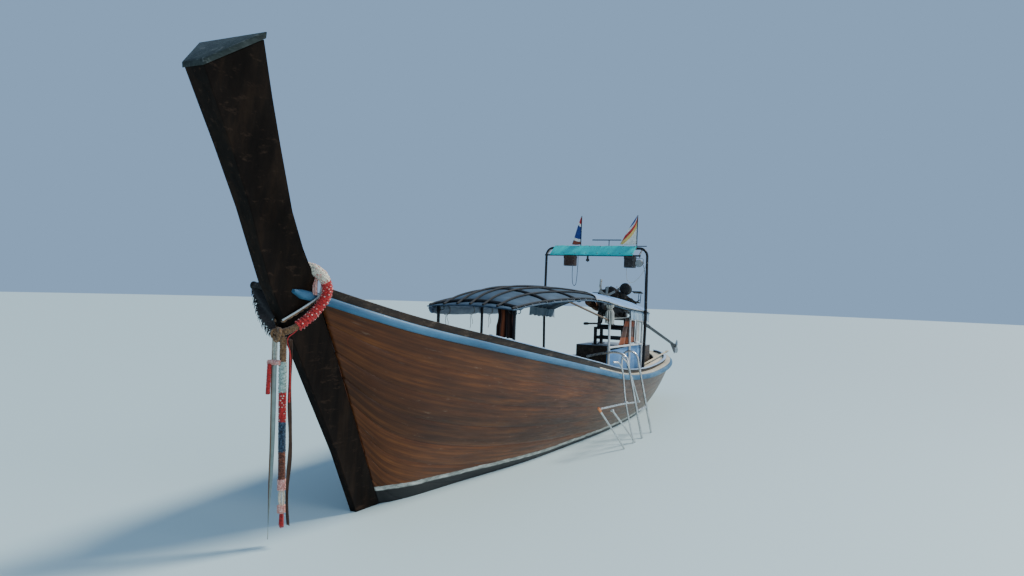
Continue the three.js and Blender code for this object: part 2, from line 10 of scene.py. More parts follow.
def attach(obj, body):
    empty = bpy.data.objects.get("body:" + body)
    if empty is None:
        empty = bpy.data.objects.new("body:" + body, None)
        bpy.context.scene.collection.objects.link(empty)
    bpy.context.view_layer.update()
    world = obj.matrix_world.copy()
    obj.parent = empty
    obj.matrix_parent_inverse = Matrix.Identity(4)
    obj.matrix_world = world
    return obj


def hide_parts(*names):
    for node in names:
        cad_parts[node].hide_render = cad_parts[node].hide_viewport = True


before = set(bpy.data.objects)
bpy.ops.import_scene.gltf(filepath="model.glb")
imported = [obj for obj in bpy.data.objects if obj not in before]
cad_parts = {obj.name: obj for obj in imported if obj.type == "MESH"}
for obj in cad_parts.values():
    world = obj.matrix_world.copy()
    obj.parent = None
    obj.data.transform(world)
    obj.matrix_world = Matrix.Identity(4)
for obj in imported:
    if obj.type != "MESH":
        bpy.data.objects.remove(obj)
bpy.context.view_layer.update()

# Camera.
# A standing person's eye ahead of the port bow, level, with the small roll of a hand-held view.
EYE = (7.8683, 3.3296, 1.6677)
RIGHT = (-0.438274, 0.898231, 0.033123)
UP = (0.012224, -0.030892, 0.999448)
AHEAD = (-0.898758, -0.438437, -0.002559)
FRAME_WIDTH, FOCAL, SENSOR = 1024, 740, 36.0  # pixels, pixels, millimetres
camera = bpy.data.objects.new("camera", bpy.data.cameras.new("camera"))
camera.data.sensor_width, camera.data.lens = SENSOR, FOCAL / FRAME_WIDTH * SENSOR
camera.data.clip_end = 200
camera.matrix_world = Matrix([
    (r, u, -a, e) for r, u, a, e in zip(RIGHT, UP, AHEAD, EYE)] + [(0, 0, 0, 1)])
bpy.context.collection.objects.link(camera)
bpy.context.scene.camera = camera

# Studio.
# A pale plain floor at the water's level, a blue-white sky all round, a soft sun from the port quarter
# and two large lamps, one ahead of the bow and one off the port side.
floor_mesh = bpy.data.meshes.new("floor")
floor_bm = bmesh.new()
bmesh.ops.create_circle(floor_bm, cap_ends=True, segments=64, radius=60)
floor_bm.to_mesh(floor_mesh)
floor_bm.free()
floor = bpy.data.objects.new("floor", floor_mesh)
bpy.context.collection.objects.link(floor)
floor_paint = bpy.data.materials.new("studio_floor")
floor_paint.use_nodes = True
floor_look = floor_paint.node_tree.nodes["Principled BSDF"].inputs
floor_look["Base Color"].default_value = (0.46, 0.60, 0.62, 1)
floor_look["Roughness"].default_value = 0.6
floor_mesh.materials.append(floor_paint)
sky = bpy.data.worlds.new("studio")
bpy.context.scene.world = sky
sky.use_nodes = True
sky.node_tree.nodes["Background"].inputs["Color"].default_value = (0.42, 0.66, 1.0, 1)
sky.node_tree.nodes["Background"].inputs["Strength"].default_value = 0.62
sun = bpy.data.objects.new("sun", bpy.data.lights.new("sun", "SUN"))
sun.data.energy, sun.data.angle, sun.data.color = 4.2, 0.25, (1.0, 0.95, 0.87)
sun.rotation_euler = Vector((0.62, -0.42, -0.80)).to_track_quat("-Z", "Y").to_euler()
bpy.context.collection.objects.link(sun)
AIM, LAMP_SIZE = Vector((0, 0, 0.8)), 6
for lamp_name, place, watts in [("bow_lamp", (12, -2, 6), 60), ("side_lamp", (4, 11, 4), 480)]:
    lamp = bpy.data.objects.new(lamp_name, bpy.data.lights.new(lamp_name, "AREA"))
    lamp.data.size, lamp.data.energy = LAMP_SIZE, watts
    lamp.location = place
    lamp.rotation_euler = (AIM - Vector(place)).to_track_quat("-Z", "Y").to_euler()
    bpy.context.collection.objects.link(lamp)

# Cables on the arch.
# Rubber-sheathed leads of the horn, the deck lamp and the spotlight. Each leaves its fitting straight,
# hangs in a loop of its own weight or runs down a leg, and ends at the pipe work.


def through(points, t):
    """The point at t, from 0 to 1, on a smooth curve through the points."""
    points = [Vector(p) for p in points]
    at = max(0.0, min(1.0, t)) * (len(points) - 1)
    i = min(int(at), len(points) - 2)
    w = at - i
    a = points[i - 1] if i else 2 * points[0] - points[1]
    b, c = points[i], points[i + 1]
    d = points[i + 2] if i + 2 < len(points) else 2 * points[-1] - points[-2]
    step = [max(math.sqrt((q - p).length), 1e-4) for p, q in ((a, b), (b, c), (c, d))]
    out = ((b - a) / step[0] - (c - a) / (step[0] + step[1]) + (c - b) / step[1]) * step[1]
    back = ((c - b) / step[1] - (d - b) / (step[1] + step[2]) + (d - c) / step[2]) * step[1]
    return (b + out * w + (3 * (c - b) - 2 * out - back) * w * w
            + (2 * (b - c) + out + back) * w ** 3)


def smooth(points, count):
    """Count steps along that curve."""
    return [through(points, i / count) for i in range(count + 1)]


def placed(name, bm, crease=math.radians(38)):
    """The bmesh as an object at the origin, shaded smooth up to an angle between faces."""
    mesh = bpy.data.meshes.new(name)
    for e in bm.edges:
        e.smooth = len(e.link_faces) != 2 or e.calc_face_angle(0) < crease
    for f in bm.faces:
        f.smooth = True
    bm.to_mesh(mesh)
    bm.free()
    made = bpy.data.objects.new(name, mesh)
    bpy.context.collection.objects.link(made)
    return made


def node(tree, kind, settings=None, **inputs):
    """Adds a shader node; an input, named or i and its number, is a value or another node's output."""
    made = tree.nodes.new("ShaderNode" + kind)
    for key, value in (settings or {}).items():
        setattr(made, key, value)
    for key, value in inputs.items():
        numbered = key[0] == "i" and key[1:].isdigit()
        socket = made.inputs[int(key[1:]) if numbered else key.replace("_", " ")]
        if isinstance(value, bpy.types.NodeSocket):
            tree.links.new(value, socket)
        else:
            socket.default_value = value
    return made


def blank(name, rough, metal=0.0, coat=0.0):
    """A new material: its tree, its shader and the coordinates to draw on."""
    made = bpy.data.materials.new(name)
    made.use_nodes = True
    tree = made.node_tree
    shader = tree.nodes["Principled BSDF"]
    for socket, value in (("Roughness", rough), ("Metallic", metal), ("Coat Weight", coat),
                          ("Specular IOR Level", 0.22)):
        shader.inputs[socket].default_value = value
    return made, tree, shader, node(tree, "TexCoord").outputs


def noise(tree, where, scale, stretch=(1, 1, 1), detail=6.0, rough=0.6):
    """Noise from 0 to 1 about 0.5, drawn longer where stretch is small."""
    place = node(tree, "Mapping", Vector=where, Scale=stretch).outputs[0]
    return node(tree, "TexNoise", Vector=place, Scale=scale, Detail=detail, Roughness=rough).outputs["Fac"]


def ramp(tree, value, *stops):
    """Colours, or greys for plain numbers, by value: stops of (place, colour)."""
    made = node(tree, "ValToRGB", Fac=value)
    elements = made.color_ramp.elements
    while len(elements) < len(stops):
        elements.new(0.5)
    for e, (place, colour) in zip(elements, stops):
        e.position = place
        e.color = (*(colour if hasattr(colour, "__len__") else (colour,) * 3), 1)
    return made.outputs["Color"]


def roughened(tree, shader, pattern, low, high):
    """Roughness by a pattern, from one (place, roughness) to another."""
    stops = [(place, min(1, rough)) for place, rough in (low, high)]
    tree.links.new(ramp(tree, pattern, *stops), shader.inputs["Roughness"])


def coloured(tree, shader, colour):
    tree.links.new(colour, shader.inputs["Base Color"])


def bumped(tree, shader, height, strength, depth):
    """Relief from a height pattern."""
    bump = node(tree, "Bump", Height=height, Strength=strength, Distance=depth)
    tree.links.new(bump.outputs[0], shader.inputs["Normal"])


def tube(bm, points, radius, sides=10):
    """A round bar through the points, added to the bmesh; radius is one number or one for each point."""
    points = [Vector(p) for p in points]
    up, before, ring = None, None, []
    for i, p in enumerate(points):
        ahead = (points[min(i + 1, len(points) - 1)] - points[max(i - 1, 0)]).normalized()
        if up is None:
            up = Vector((0, 0, 1)) if abs(ahead.z) < 0.9 else Vector((0, 1, 0))
        up = (up - ahead * up.dot(ahead)).normalized()
        wide = radius if isinstance(radius, float) else radius[i]
        place = Matrix([(s * wide, u * wide, a * wide, c) for s, u, a,
                        c in zip(ahead.cross(up), up, ahead, p)]
                       + [(0, 0, 0, 1)])
        if before is None:
            made = bmesh.ops.create_circle(bm, cap_ends=True, segments=sides, radius=1, matrix=place)["verts"]
            ring = list({e for v in made for e in v.link_edges})
        else:
            made = bmesh.ops.extrude_edge_only(bm, edges=ring)["geom"]
            verts = [g for g in made if isinstance(g, bmesh.types.BMVert)]
            bmesh.ops.transform(bm, matrix=place @ before.inverted(), verts=verts)
            ring = [g for g in made if isinstance(g, bmesh.types.BMEdge)
                    and g.verts[0] in verts and g.verts[1] in verts]
        before = place
    bmesh.ops.edgeloop_fill(bm, edges=ring)


def fitted(piece, body, slot, finish, *stands_for):
    """Gives a piece its finish and the body it moves with, and hides the CAD nodes that it stands for; slot
    is not used.
    """
    piece.data.materials.append(finish)
    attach(piece, body)
    if stands_for:
        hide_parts(*stands_for)
    return piece


def fixed(name, bm, slot, finish, *stands_for):
    """The bmesh as a piece that is fixed to the hull."""
    return fitted(placed(name, bm), "hull", slot, finish, *stands_for)


def rubber(name, colour, rough=0.5):
    """Moulded rubber or soft plastic, dusty and a little scuffed."""
    made, tree, shader, where = blank(name, rough)
    dust = noise(tree, where["Object"], 38, (1, 1, 1), 8, 0.7)
    coloured(tree, shader, ramp(tree, dust, (0.42, colour), (0.68, [0.6 * c + 0.05 for c in colour])))
    roughened(tree, shader, dust, (0.35, rough * 0.8), (0.7, rough * 1.5))
    bumped(tree, shader, dust, 0.2, 0.001)
    return made


# Each row: name, points, length, diameter, colour.
CABLES = [
    ("horn_cable", [
        (-1.30, -0.262, 1.9615), (-1.30, -0.262, 1.93), (-1.30, -0.262, 1.86), (-1.30, -0.258, 1.78),
        (-1.30, -0.247, 1.722), (-1.30, -0.228, 1.70), (-1.30, -0.209, 1.722), (-1.30, -0.198, 1.79),
        (-1.30, -0.190, 1.90), (-1.30, -0.186, 2.00), (-1.30, -0.186, 2.0935)],
     0.674, 0.007, (0.02, 0.02, 0.022)),
    ("lamp_cable", [
        (-1.31, 0.478, 1.9505), (-1.31, 0.478, 1.92), (-1.31, 0.479, 1.86), (-1.312, 0.486, 1.81),
        (-1.322, 0.510, 1.772), (-1.342, 0.548, 1.765), (-1.372, 0.598, 1.80), (-1.405, 0.648, 1.87),
        (-1.432, 0.684, 1.95), (-1.448, 0.690, 1.99)],
     0.529, 0.006, (0.42, 0.42, 0.40)),
    ("spotlight_cable", [
        (-1.3805, 0.650, 2.020), (-1.40, 0.650, 2.020), (-1.425, 0.655, 2.004), (-1.443, 0.668, 1.965),
        (-1.450, 0.681, 1.90), (-1.450, 0.6865, 1.80), (-1.450, 0.6885, 1.60), (-1.450, 0.6905, 1.40),
        (-1.450, 0.690, 1.20), (-1.450, 0.6865, 1.00), (-1.450, 0.682, 0.80), (-1.450, 0.6785, 0.6375)],
     1.425, 0.007, (0.03, 0.03, 0.032)),
]
for name, points, length, diameter, colour in CABLES:
    path = smooth(points, 96)
    bm = bmesh.new()
    tube(bm, path, diameter / 2, 12)
    cable = fixed(name, bm, "black_pipe", rubber(name + "_sheath", colour))

# Hull planking.
# Nine carvel strakes a side of oiled hardwood, run from the stem to the stern post and caulked at
# the seams; the foot is painted dark up to the water and banded pale just above it.
# Each row: sheer x, y, z, then bilge x, y, z, then keel x, z, all in millimetres.
LINES = [
    (4090, 80, 1575, 3620, 65, 660, 3160, -250),
    (3800, 290, 1468, 3440, 160, 340, 3020, -280),
    (3420, 430, 1365, 3140, 240, 140, 2820, -295),
    (2500, 610, 1185, 2420, 320, -80, 2300, -305),
    (1500, 712, 1008, 1470, 530, -180, 1420, -310),
    (550, 770, 845, 530, 600, -225, 500, -310),
    (-400, 805, 690, -400, 640, -240, -400, -310),
    (-1370, 805, 618, -1350, 620, -230, -1300, -300),
    (-2350, 755, 618, -2280, 530, -180, -2150, -265),
    (-3050, 650, 626, -2900, 450, -80, -2700, -215),
    (-3550, 510, 640, -3320, 350, 40, -3080, -155),
    (-3900, 330, 655, -3600, 210, 140, -3320, -105),
    (-4070, 130, 664, -3730, 90, 190, -3420, -75),
    (-4100, 30, 666, -3760, 30, 200, -3450, -65),
]
KEEL_HALF = 0.03
SHEER = [Vector(r[0:3]) / 1000 for r in LINES]
BILGE = [Vector(r[3:6]) / 1000 for r in LINES]
RABBET = [Vector((r[6] / 1000, KEEL_HALF, r[7] / 1000)) for r in LINES]
SIDES = (("port", 1), ("starboard", -1))


def hull_point(t, v):
    """A point on the port side, t from bow to stern and v from the keel to the sheer."""
    k, b, s = through(RABBET, t), through(BILGE, t), through(SHEER, t)
    return k * (1 - v) ** 2 + b * 2 * v * (1 - v) + s * v * v


def hull_normal(t, v):
    """The outward direction there."""
    e = 1e-3
    along = hull_point(min(1, t + e), v) - hull_point(max(0, t - e), v)
    up = hull_point(t, min(1, v + e)) - hull_point(t, max(0, v - e))
    n = along.cross(up).normalized()
    if t > 0.999:
        n = Vector((n.x, 0, n.z)).normalized()
    return n


def skin(name, rings, closed=True):
    """A mesh over rings of points, which all have the same count, with lengths in metres as its UV map."""
    rows, columns = len(rings) - 1, len(rings[0]) - (0 if closed else 1)
    bm = bmesh.new()
    uv = bm.loops.layers.uv.new("UVMap")
    bmesh.ops.create_grid(bm, x_segments=columns, y_segments=rows, size=0.5, calc_uvs=True)
    run, girth = [0.0], [0.0]
    for a, b in zip(rings, rings[1:]):
        run.append(run[-1] + max(1e-5, (a[0] - b[0]).length))
    middle = rings[len(rings) // 2]
    for j in range(columns):
        girth.append(girth[-1] + (middle[(j + 1) % len(middle)] - middle[j]).length)
    cells = {v: (round((v.co.y + 0.5) * rows), round((v.co.x + 0.5) * columns)) for v in bm.verts}
    for face in bm.faces:
        for corner in face.loops:
            row, column = cells[corner.vert]
            corner[uv].uv = run[row], girth[column]
    for v, (row, column) in cells.items():
        v.co = rings[row][column % len(middle)]
    if closed:
        bmesh.ops.remove_doubles(bm, verts=bm.verts, dist=1e-6)
        bmesh.ops.holes_fill(bm, edges=[e for e in bm.edges if e.is_boundary], sides=0)
    bmesh.ops.recalc_face_normals(bm, faces=bm.faces)
    return placed(name, bm)


def sheet(name, rings, thick, offset=0):
    """A thin wall over the rings, open at its edges."""
    made = skin(name, rings, closed=False)
    wall = made.modifiers.new("thickness", "SOLIDIFY")
    wall.thickness, wall.offset = thick, offset
    return made


def over(tree, fac, below, above, blend="MIX"):
    """Above laid on below as far as fac says."""
    made = node(tree, "Mix", {"data_type": "RGBA", "blend_type": blend})
    for socket, value in ((made.inputs[0], fac), (made.inputs[6], below), (made.inputs[7], above)):
        if isinstance(value, bpy.types.NodeSocket):
            tree.links.new(value, socket)
        else:
            socket.default_value = value if isinstance(value, float) else (*value, 1)
    return made.outputs[2]


def maths(tree, operation, *values):
    """A sum on numbers or patterns."""
    inputs = {f"i{k}": value for k, value in enumerate(values)}
    return node(tree, "Math", {"operation": operation}, **inputs).outputs[0]


def spread(tree, value, x0, x1, y0, y1):
    """The value, from x0 to x1, as one from y0 to y1."""
    return node(tree, "MapRange", Value=value, From_Min=x0, From_Max=x1, To_Min=y0, To_Max=y1).outputs[0]


SEAMS = [0.0, 0.13, 0.25, 0.37, 0.48, 0.585, 0.685, 0.785, 0.89, 1.0]  # up the girth
PLANK, SEAM_DEPTH = 0.024, 0.0035
BLACK, WHITE = (0, 0, 0), (1, 1, 1)


def strake_rows():
    """Rows up the side as (v, depth), three at each seam for its groove."""
    rows = [(0.0, 0.0)]
    for low, high in zip(SEAMS, SEAMS[1:]):
        rows += [(low + (high - low) * f, 0.0) for f in (0.04, 0.25, 0.5, 0.75, 0.96)]
        rows.append((high, SEAM_DEPTH if high < 1 else 0.0))
    return rows


def hull_wood():
    """Red-brown oiled planks: a tone for each strake, grey weathering aft, scuffs and the painted foot."""
    made, tree, shader, where = blank("hull_planks_oiled", 0.42, coat=0.04)
    uv, place = where["UV"], where["Object"]
    along, _, up = node(tree, "SeparateXYZ", Vector=place).outputs
    girth = node(tree, "SeparateXYZ", Vector=uv).outputs[1]
    streaks = noise(tree, uv, 3.0, (0.55, 11, 1), 9, 0.66)
    colour = ramp(tree, streaks, (0.26, (0.030, 0.0080, 0.0020)), (0.50, (0.092, 0.027, 0.0055)),
                  (0.74, (0.20, 0.066, 0.013)))
    strake = node(tree, "TexWhiteNoise", {"noise_dimensions": "1D"},
                  W=maths(tree, "FLOOR", maths(tree, "MULTIPLY", girth, 5.6))).outputs[0]
    tones = ramp(tree, strake, (0.0, (0.55, 0.52, 0.50)), (1.0, (1.25, 1.15, 1.05)))
    colour = over(tree, 0.65, colour, tones, "MULTIPLY")
    stains = ramp(tree, noise(tree, place, 1.1, (0.8, 1, 2.2), 5), (0.36, (0.50, 0.46, 0.45)), (0.60, WHITE))
    colour = over(tree, 0.7, colour, stains, "MULTIPLY")
    grey = ramp(tree, streaks, (0.3, (0.075, 0.054, 0.036)), (0.7, (0.22, 0.17, 0.12)))
    colour = over(tree, spread(tree, along, 0.6, -3.6, 0.0, 0.75), colour, grey)
    scuff = ramp(tree, noise(tree, uv, 6, (1.0, 6, 1), 12, 0.74), (0.60, BLACK), (0.67, WHITE))
    colour = over(tree, maths(tree, "MULTIPLY", scuff, 0.30), colour, (0.30, 0.22, 0.15))
    # The pale band climbs towards the bow, above the dark foot.
    wander = maths(tree, "MULTIPLY_ADD", noise(tree, place, 5), 0.03, up)
    height = maths(tree, "SUBTRACT", wander, spread(tree, along, 1.0, 3.8, 0.0, 0.085))
    band = ramp(tree, height, (0.086, BLACK), (0.090, WHITE))
    foot = ramp(tree, height, (0.052, BLACK), (0.058, WHITE))
    pale = ramp(tree, noise(tree, place, 9, (1, 1, 3), 10, 0.7), (0.40, (0.16, 0.17, 0.15)),
                (0.62, (0.52, 0.53, 0.48)))
    coloured(tree, shader, over(tree, band, over(tree, foot, (0.012, 0.012, 0.013), pale), colour))
    fine = noise(tree, uv, 14, (0.4, 10, 1), 9, 0.7)
    roughened(tree, shader, fine, (0.3, 0.30), (0.75, 0.62))
    bumped(tree, shader, fine, 0.4, 0.004)
    return made


oiled = hull_wood()
for side_name, side in SIDES:
    rings = []
    for i in range(121):
        points = [hull_point(i / 120, v) - hull_normal(i / 120, v) * depth for v, depth in strake_rows()]
        rings.append([Vector((p.x, side * max(p.y, KEEL_HALF), p.z)) for p in points])
    planks = sheet("hull_planks_" + side_name, rings, PLANK, -1)
    if planks.data.polygons[900].normal.y * side < 0:
        planks.data.flip_normals()
    fitted(planks, "hull", "hull_wood", oiled, "fore_planks_" + side_name, "aft_planks_" + side_name,
           "side_planks_" + side_name)

# Keel and stern post.
# Sawn hardwood baulks of one thickness, bolted through to the keelson; below the water they carry the
# same dark paint as the foot of the planking.


def wood(name, dark, mid, light, rough=0.5, coat=0.0, grain=(0.6, 14, 14), wear=None):
    """Timber with streaks along the grain, stains, pores and, if wear is given, scuffs of that colour."""
    made, tree, shader, where = blank(name, rough, coat=coat)
    place = where["Object"]
    streaks = noise(tree, place, 2.2, grain, 8, 0.65)
    colour = ramp(tree, streaks, (0.30, dark), (0.50, mid), (0.72, light))
    stains = ramp(tree, noise(tree, place, 1.3, (0.7, 1.6, 1.6), 4), (0.35, (0.45, 0.42, 0.40)),
                  (0.62, WHITE))
    colour = over(tree, 0.75, colour, stains, "MULTIPLY")
    if wear:
        scuff = ramp(tree, noise(tree, place, 5, (1.2, 5, 5), 10, 0.72), (0.56, BLACK), (0.66, WHITE))
        colour = over(tree, scuff, colour, wear)
    coloured(tree, shader, colour)
    fine = noise(tree, place, 9, grain, 8, 0.7)
    roughened(tree, shader, fine, (0.3, rough * 0.7), (0.7, rough * 1.3))
    bumped(tree, shader, fine, 0.35, 0.004)
    return made


def softened(names, finish, slot, width=0.004, steps=2, body="hull"):
    """Copies of rigid CAD nodes with their doubles merged and their sharp edges eased, in one finish."""
    for name in names:
        bm = bmesh.new()
        bm.from_mesh(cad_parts[name].data)
        bmesh.ops.remove_doubles(bm, verts=bm.verts, dist=1e-5)
        bmesh.ops.dissolve_limit(bm, angle_limit=math.radians(1), verts=bm.verts, edges=bm.edges)
        sharp = [e for e in bm.edges if len(e.link_faces) == 2 and e.calc_face_angle(0) > math.radians(40)
                 and e.calc_length() > 4 * width]
        bmesh.ops.bevel(bm, geom=sharp, offset=width, offset_type="OFFSET", affect="EDGES", segments=steps,
                        profile=0.5, material=-1, clamp_overlap=True)
        bmesh.ops.triangulate(bm, faces=[f for f in bm.faces if len(f.verts) > 4])
        fitted(placed(name + "_eased", bm, math.radians(30)), body, slot, finish, name)


foot_paint = wood("keel_painted", (0.010, 0.010, 0.011), (0.016, 0.016, 0.017), (0.035, 0.034, 0.033), 0.6,
                  wear=(0.09, 0.075, 0.06))
softened(["keel", "stern_post"], foot_paint, "hull_wood", 0.006, 3)

# Stem.
# One tall timber of dark oiled hardwood, square at its foot and flared to a wide flat head, with
# eased edges that catch the light and a painted board nailed on its sloping top.
# Each row: front x, z and half width, then back x, z and half width.
STEM = [
    (3.340, -0.306, 0.028, 3.163, -0.250, 0.0295),
    (3.450, -0.150, 0.028, 3.213, -0.150, 0.035),
    (3.542, 0.000, 0.028, 3.289, 0.000, 0.042),
    (3.775, 0.461, 0.030, 3.524, 0.461, 0.057),
    (3.998, 0.837, 0.032, 3.715, 0.837, 0.066),
    (4.224, 1.225, 0.036, 3.913, 1.225, 0.072),
    (4.400, 1.500, 0.042, 4.055, 1.500, 0.076),
    (4.440, 1.572, 0.044, 4.092, 1.578, 0.079),
    (4.484, 1.637, 0.046, 4.149, 1.650, 0.118),
    (4.580, 1.860, 0.052, 4.319, 1.860, 0.152),
    (4.670, 2.075, 0.058, 4.439, 2.075, 0.168),
    (4.840, 2.415, 0.066, 4.579, 2.430, 0.194),
    (4.950, 2.620, 0.070, 4.689, 2.700, 0.222),
    (5.045, 2.800, 0.074, 4.799, 2.990, 0.254),
]
GROOVES, GROOVE = (2, 4), 0.001  # where the laminations meet


def eased(piece, width, steps, degrees=30):
    """Eases the sharp edges of a piece."""
    edges = piece.modifiers.new("eased", "BEVEL")
    edges.width, edges.segments = width, steps
    edges.limit_method, edges.angle_limit = "ANGLE", math.radians(degrees)


rings = []
for fx, fz, fw, bx, bz, bw in STEM:
    ring = []
    for side in (1, -1):
        front, back = Vector((fx, side * fw, fz)), Vector((bx - 0.0006, side * bw, bz))
        edge = [front.lerp(back, f) for f in (0, 0.04, 0.35, 0.36, 0.68, 0.69, 0.96, 1)]
        for i in GROOVES:
            edge[i].y -= side * GROOVE
        ring += edge[::side]
    rings.append(ring)
stem = skin("stem_timber", rings)
eased(stem, 0.007, 3, 50)
stem_wood = wood("stem_oiled", (0.0050, 0.0030, 0.0022), (0.0105, 0.0062, 0.0042), (0.026, 0.014, 0.008), 0.5,
                 0.0, (4, 4, 0.5), (0.034, 0.019, 0.012))
stem_wood.node_tree.nodes["Principled BSDF"].inputs["Specular IOR Level"].default_value = 0.06
fitted(stem, "hull", "stem_wood", stem_wood, "stem")
cap_paint = wood("head_board_paint", (0.012, 0.018, 0.016), (0.024, 0.036, 0.032), (0.055, 0.072, 0.066), 0.5,
                 wear=(0.10, 0.11, 0.10))
softened(["stem_cap"], cap_paint, "cap_paint", 0.005, 3)

# Rub rails, coamings and side decks.
# Half-round rails, painted blue, spiked along the sheer and past the neck of the stem; above them a
# low oiled coaming with a thin pale blue cap, and aft of the thwarts a cream covering board.


def painted(name, colour, faded, bare, rough=0.45, chips=0.60):
    """Brushed paint that has faded in patches and chipped to what is under it."""
    made, tree, shader, where = blank(name, rough)
    place, stretch = where["Object"], (0.5, 2, 2)
    sun = ramp(tree, noise(tree, place, 1.7, (0.6, 1.5, 1.5), 5), (0.38, colour), (0.66, faded))
    streak = ramp(tree, noise(tree, place, 7, stretch, 9, 0.7), (0.35, 0.72), (0.6, 1))
    sun = over(tree, 0.55, sun, streak, "MULTIPLY")
    chip_height = noise(tree, place, 6, stretch, 12, 0.78)
    chip = ramp(tree, chip_height, (chips, BLACK), (chips + 0.03, WHITE))
    coloured(tree, shader, over(tree, chip, sun, bare))
    roughened(tree, shader, chip_height, (0.4, rough * 0.8), (chips, rough * 1.7))
    bumped(tree, shader, chip_height, 0.25, 0.003)
    return made


def sheer_frame(t):
    """The sheer at t and the level direction that points out from it."""
    here = through(SHEER, t)
    if t > 0.999:
        return here, Vector((-1, 0, 0))
    ahead = through(SHEER, min(1, t + 1e-3)) - through(SHEER, max(0, t - 1e-3))
    out = Vector((ahead.y, -ahead.x, 0)).normalized()
    return here, (out if out.y > 0 else -out)


def t_at(x, line, steps=30):
    """Where a curve that runs from bow to stern reaches x."""
    low, high = 0.0, 1.0
    for _ in range(steps):
        middle = (low + high) / 2
        low, high = (middle, high) if through(line, middle).x > x else (low, middle)
    return low


def along_sheer(name, side, x0, x1, section, ahead=(), count=110):
    """A strip along the sheer; section gives its corners as (out, up) for an x, ahead the rings before it."""
    rings = [[Vector((x, side * y, z)) for x, y, z in ring] for ring in ahead]
    t0, t1 = t_at(x0, SHEER), t_at(x1, SHEER)
    for i in range(count + 1):
        here, out = sheer_frame(t0 + (t1 - t0) * i / count)
        corners = [(here + out * o, h) for o, h in section(here.x)]
        rings.append([Vector((p.x, side * max(p.y, 0.0002), here.z + h)) for p, h in corners])
    return skin(name, rings)


def between(x, x0, x1, a, b):
    return a + (b - a) * min(1, max(0, (x0 - x) / (x0 - x1)))


def half_round(o0, o1=0.036, z0=-0.058, z1=0.002):
    """Corners of a rail whose outer face is rounded."""
    middle, half = (z0 + z1) / 2, (z1 - z0) / 2
    bulge = [(o0 + (o1 - o0) * (0.45 + 0.55 * math.cos(a)), middle + half * math.sin(a))
             for a in [math.pi * (k / 8 - 0.5) for k in range(9)]]
    return [(o0, z0), *bulge, (o0, z1)]


def inboard(x):
    """The outer face of the coaming, which steps in from the sheer going aft."""
    return between(x, 0.9, -1.2, -0.002, -0.066)


def coaming_top(x):
    return between(x, 0, -3.9, 0.062, 0.044)


def coaming_section(x):
    foot, top = between(x, 0.71, 0.48, 0.0004, 0.0187), coaming_top(x)
    return [(inboard(x) + o, h) for o, h in (
        (-0.020, foot), (0, foot), (0, top - 0.003), (-0.003, top), (-0.017, top), (-0.020, top - 0.003))]


def cap_section(x):
    return [(inboard(x) + o, coaming_top(x) + h) for o, h in (
        (-0.027, 0.0003), (0.006, 0.0003), (0.008, 0.003), (0.008, 0.007), (0.006, 0.009), (-0.027, 0.009),
        (-0.029, 0.007), (-0.029, 0.003))]


def deck_section(x):
    edge = between(x, 0.3, -1.8, -0.15, -0.25)
    seam = edge * 0.62
    return [(edge, 0.0012), (edge + 0.002, 0.0003), (-0.001, 0.0003), (0.0, 0.001), (0.0, 0.016),
            (-0.002, 0.018), (seam + 0.002, 0.018), (seam, 0.0165), (seam - 0.002, 0.018),
            (edge + 0.003, 0.018), (edge, 0.015)]


rail_blue = painted("rail_paint", (0.036, 0.110, 0.195), (0.085, 0.205, 0.32), (0.10, 0.070, 0.05), 0.42,
                    0.63)
coaming_wood = wood("coaming_oiled", (0.008, 0.0045, 0.0025), (0.020, 0.0115, 0.006), (0.050, 0.030, 0.016),
                    wear=(0.085, 0.060, 0.040))
trim_paint = painted("coaming_cap_paint", (0.30, 0.42, 0.58), (0.48, 0.60, 0.74), (0.25, 0.20, 0.15), 0.4,
                     0.66)
deck_paint = painted("deck_paint_cream", (0.50, 0.46, 0.34), (0.66, 0.62, 0.50), (0.26, 0.20, 0.13), 0.5,
                     0.62)
heads = [[(4.312, 0.060 + 0.9 * o, 1.603 + 0.018 / 0.058 * h) for o, h in half_round(0)],
         [(4.24, 0.0665 + 1.1 * o, 1.601 + h) for o, h in half_round(0)]]
for side_name, side in SIDES:
    # Each row: name, x of both ends, section, rings ahead, slot, finish, CAD nodes.
    for name, x0, x1, section, ahead, slot, finish, stands_for in [
            ("rub_rail_blue_", 4.09, -4.10, lambda x: half_round(0.0004), heads, "blue_paint", rail_blue,
             ["rub_rail_"]),
            ("coaming_board_", 4.06, -4.02, coaming_section, (), "rail_wood", coaming_wood, ["coaming_"]),
            ("coaming_cap_", 2.6, -4.02, cap_section, (), "blue_paint", trim_paint, []),
            ("covering_board_", 0.45, -4.10, deck_section, (), "cream_paint", deck_paint, ["side_deck_"])]:
        strip = along_sheer(name + side_name, side, x0, x1, section, ahead)
        fitted(strip, "hull", slot, finish, *[cad + side_name for cad in stands_for])

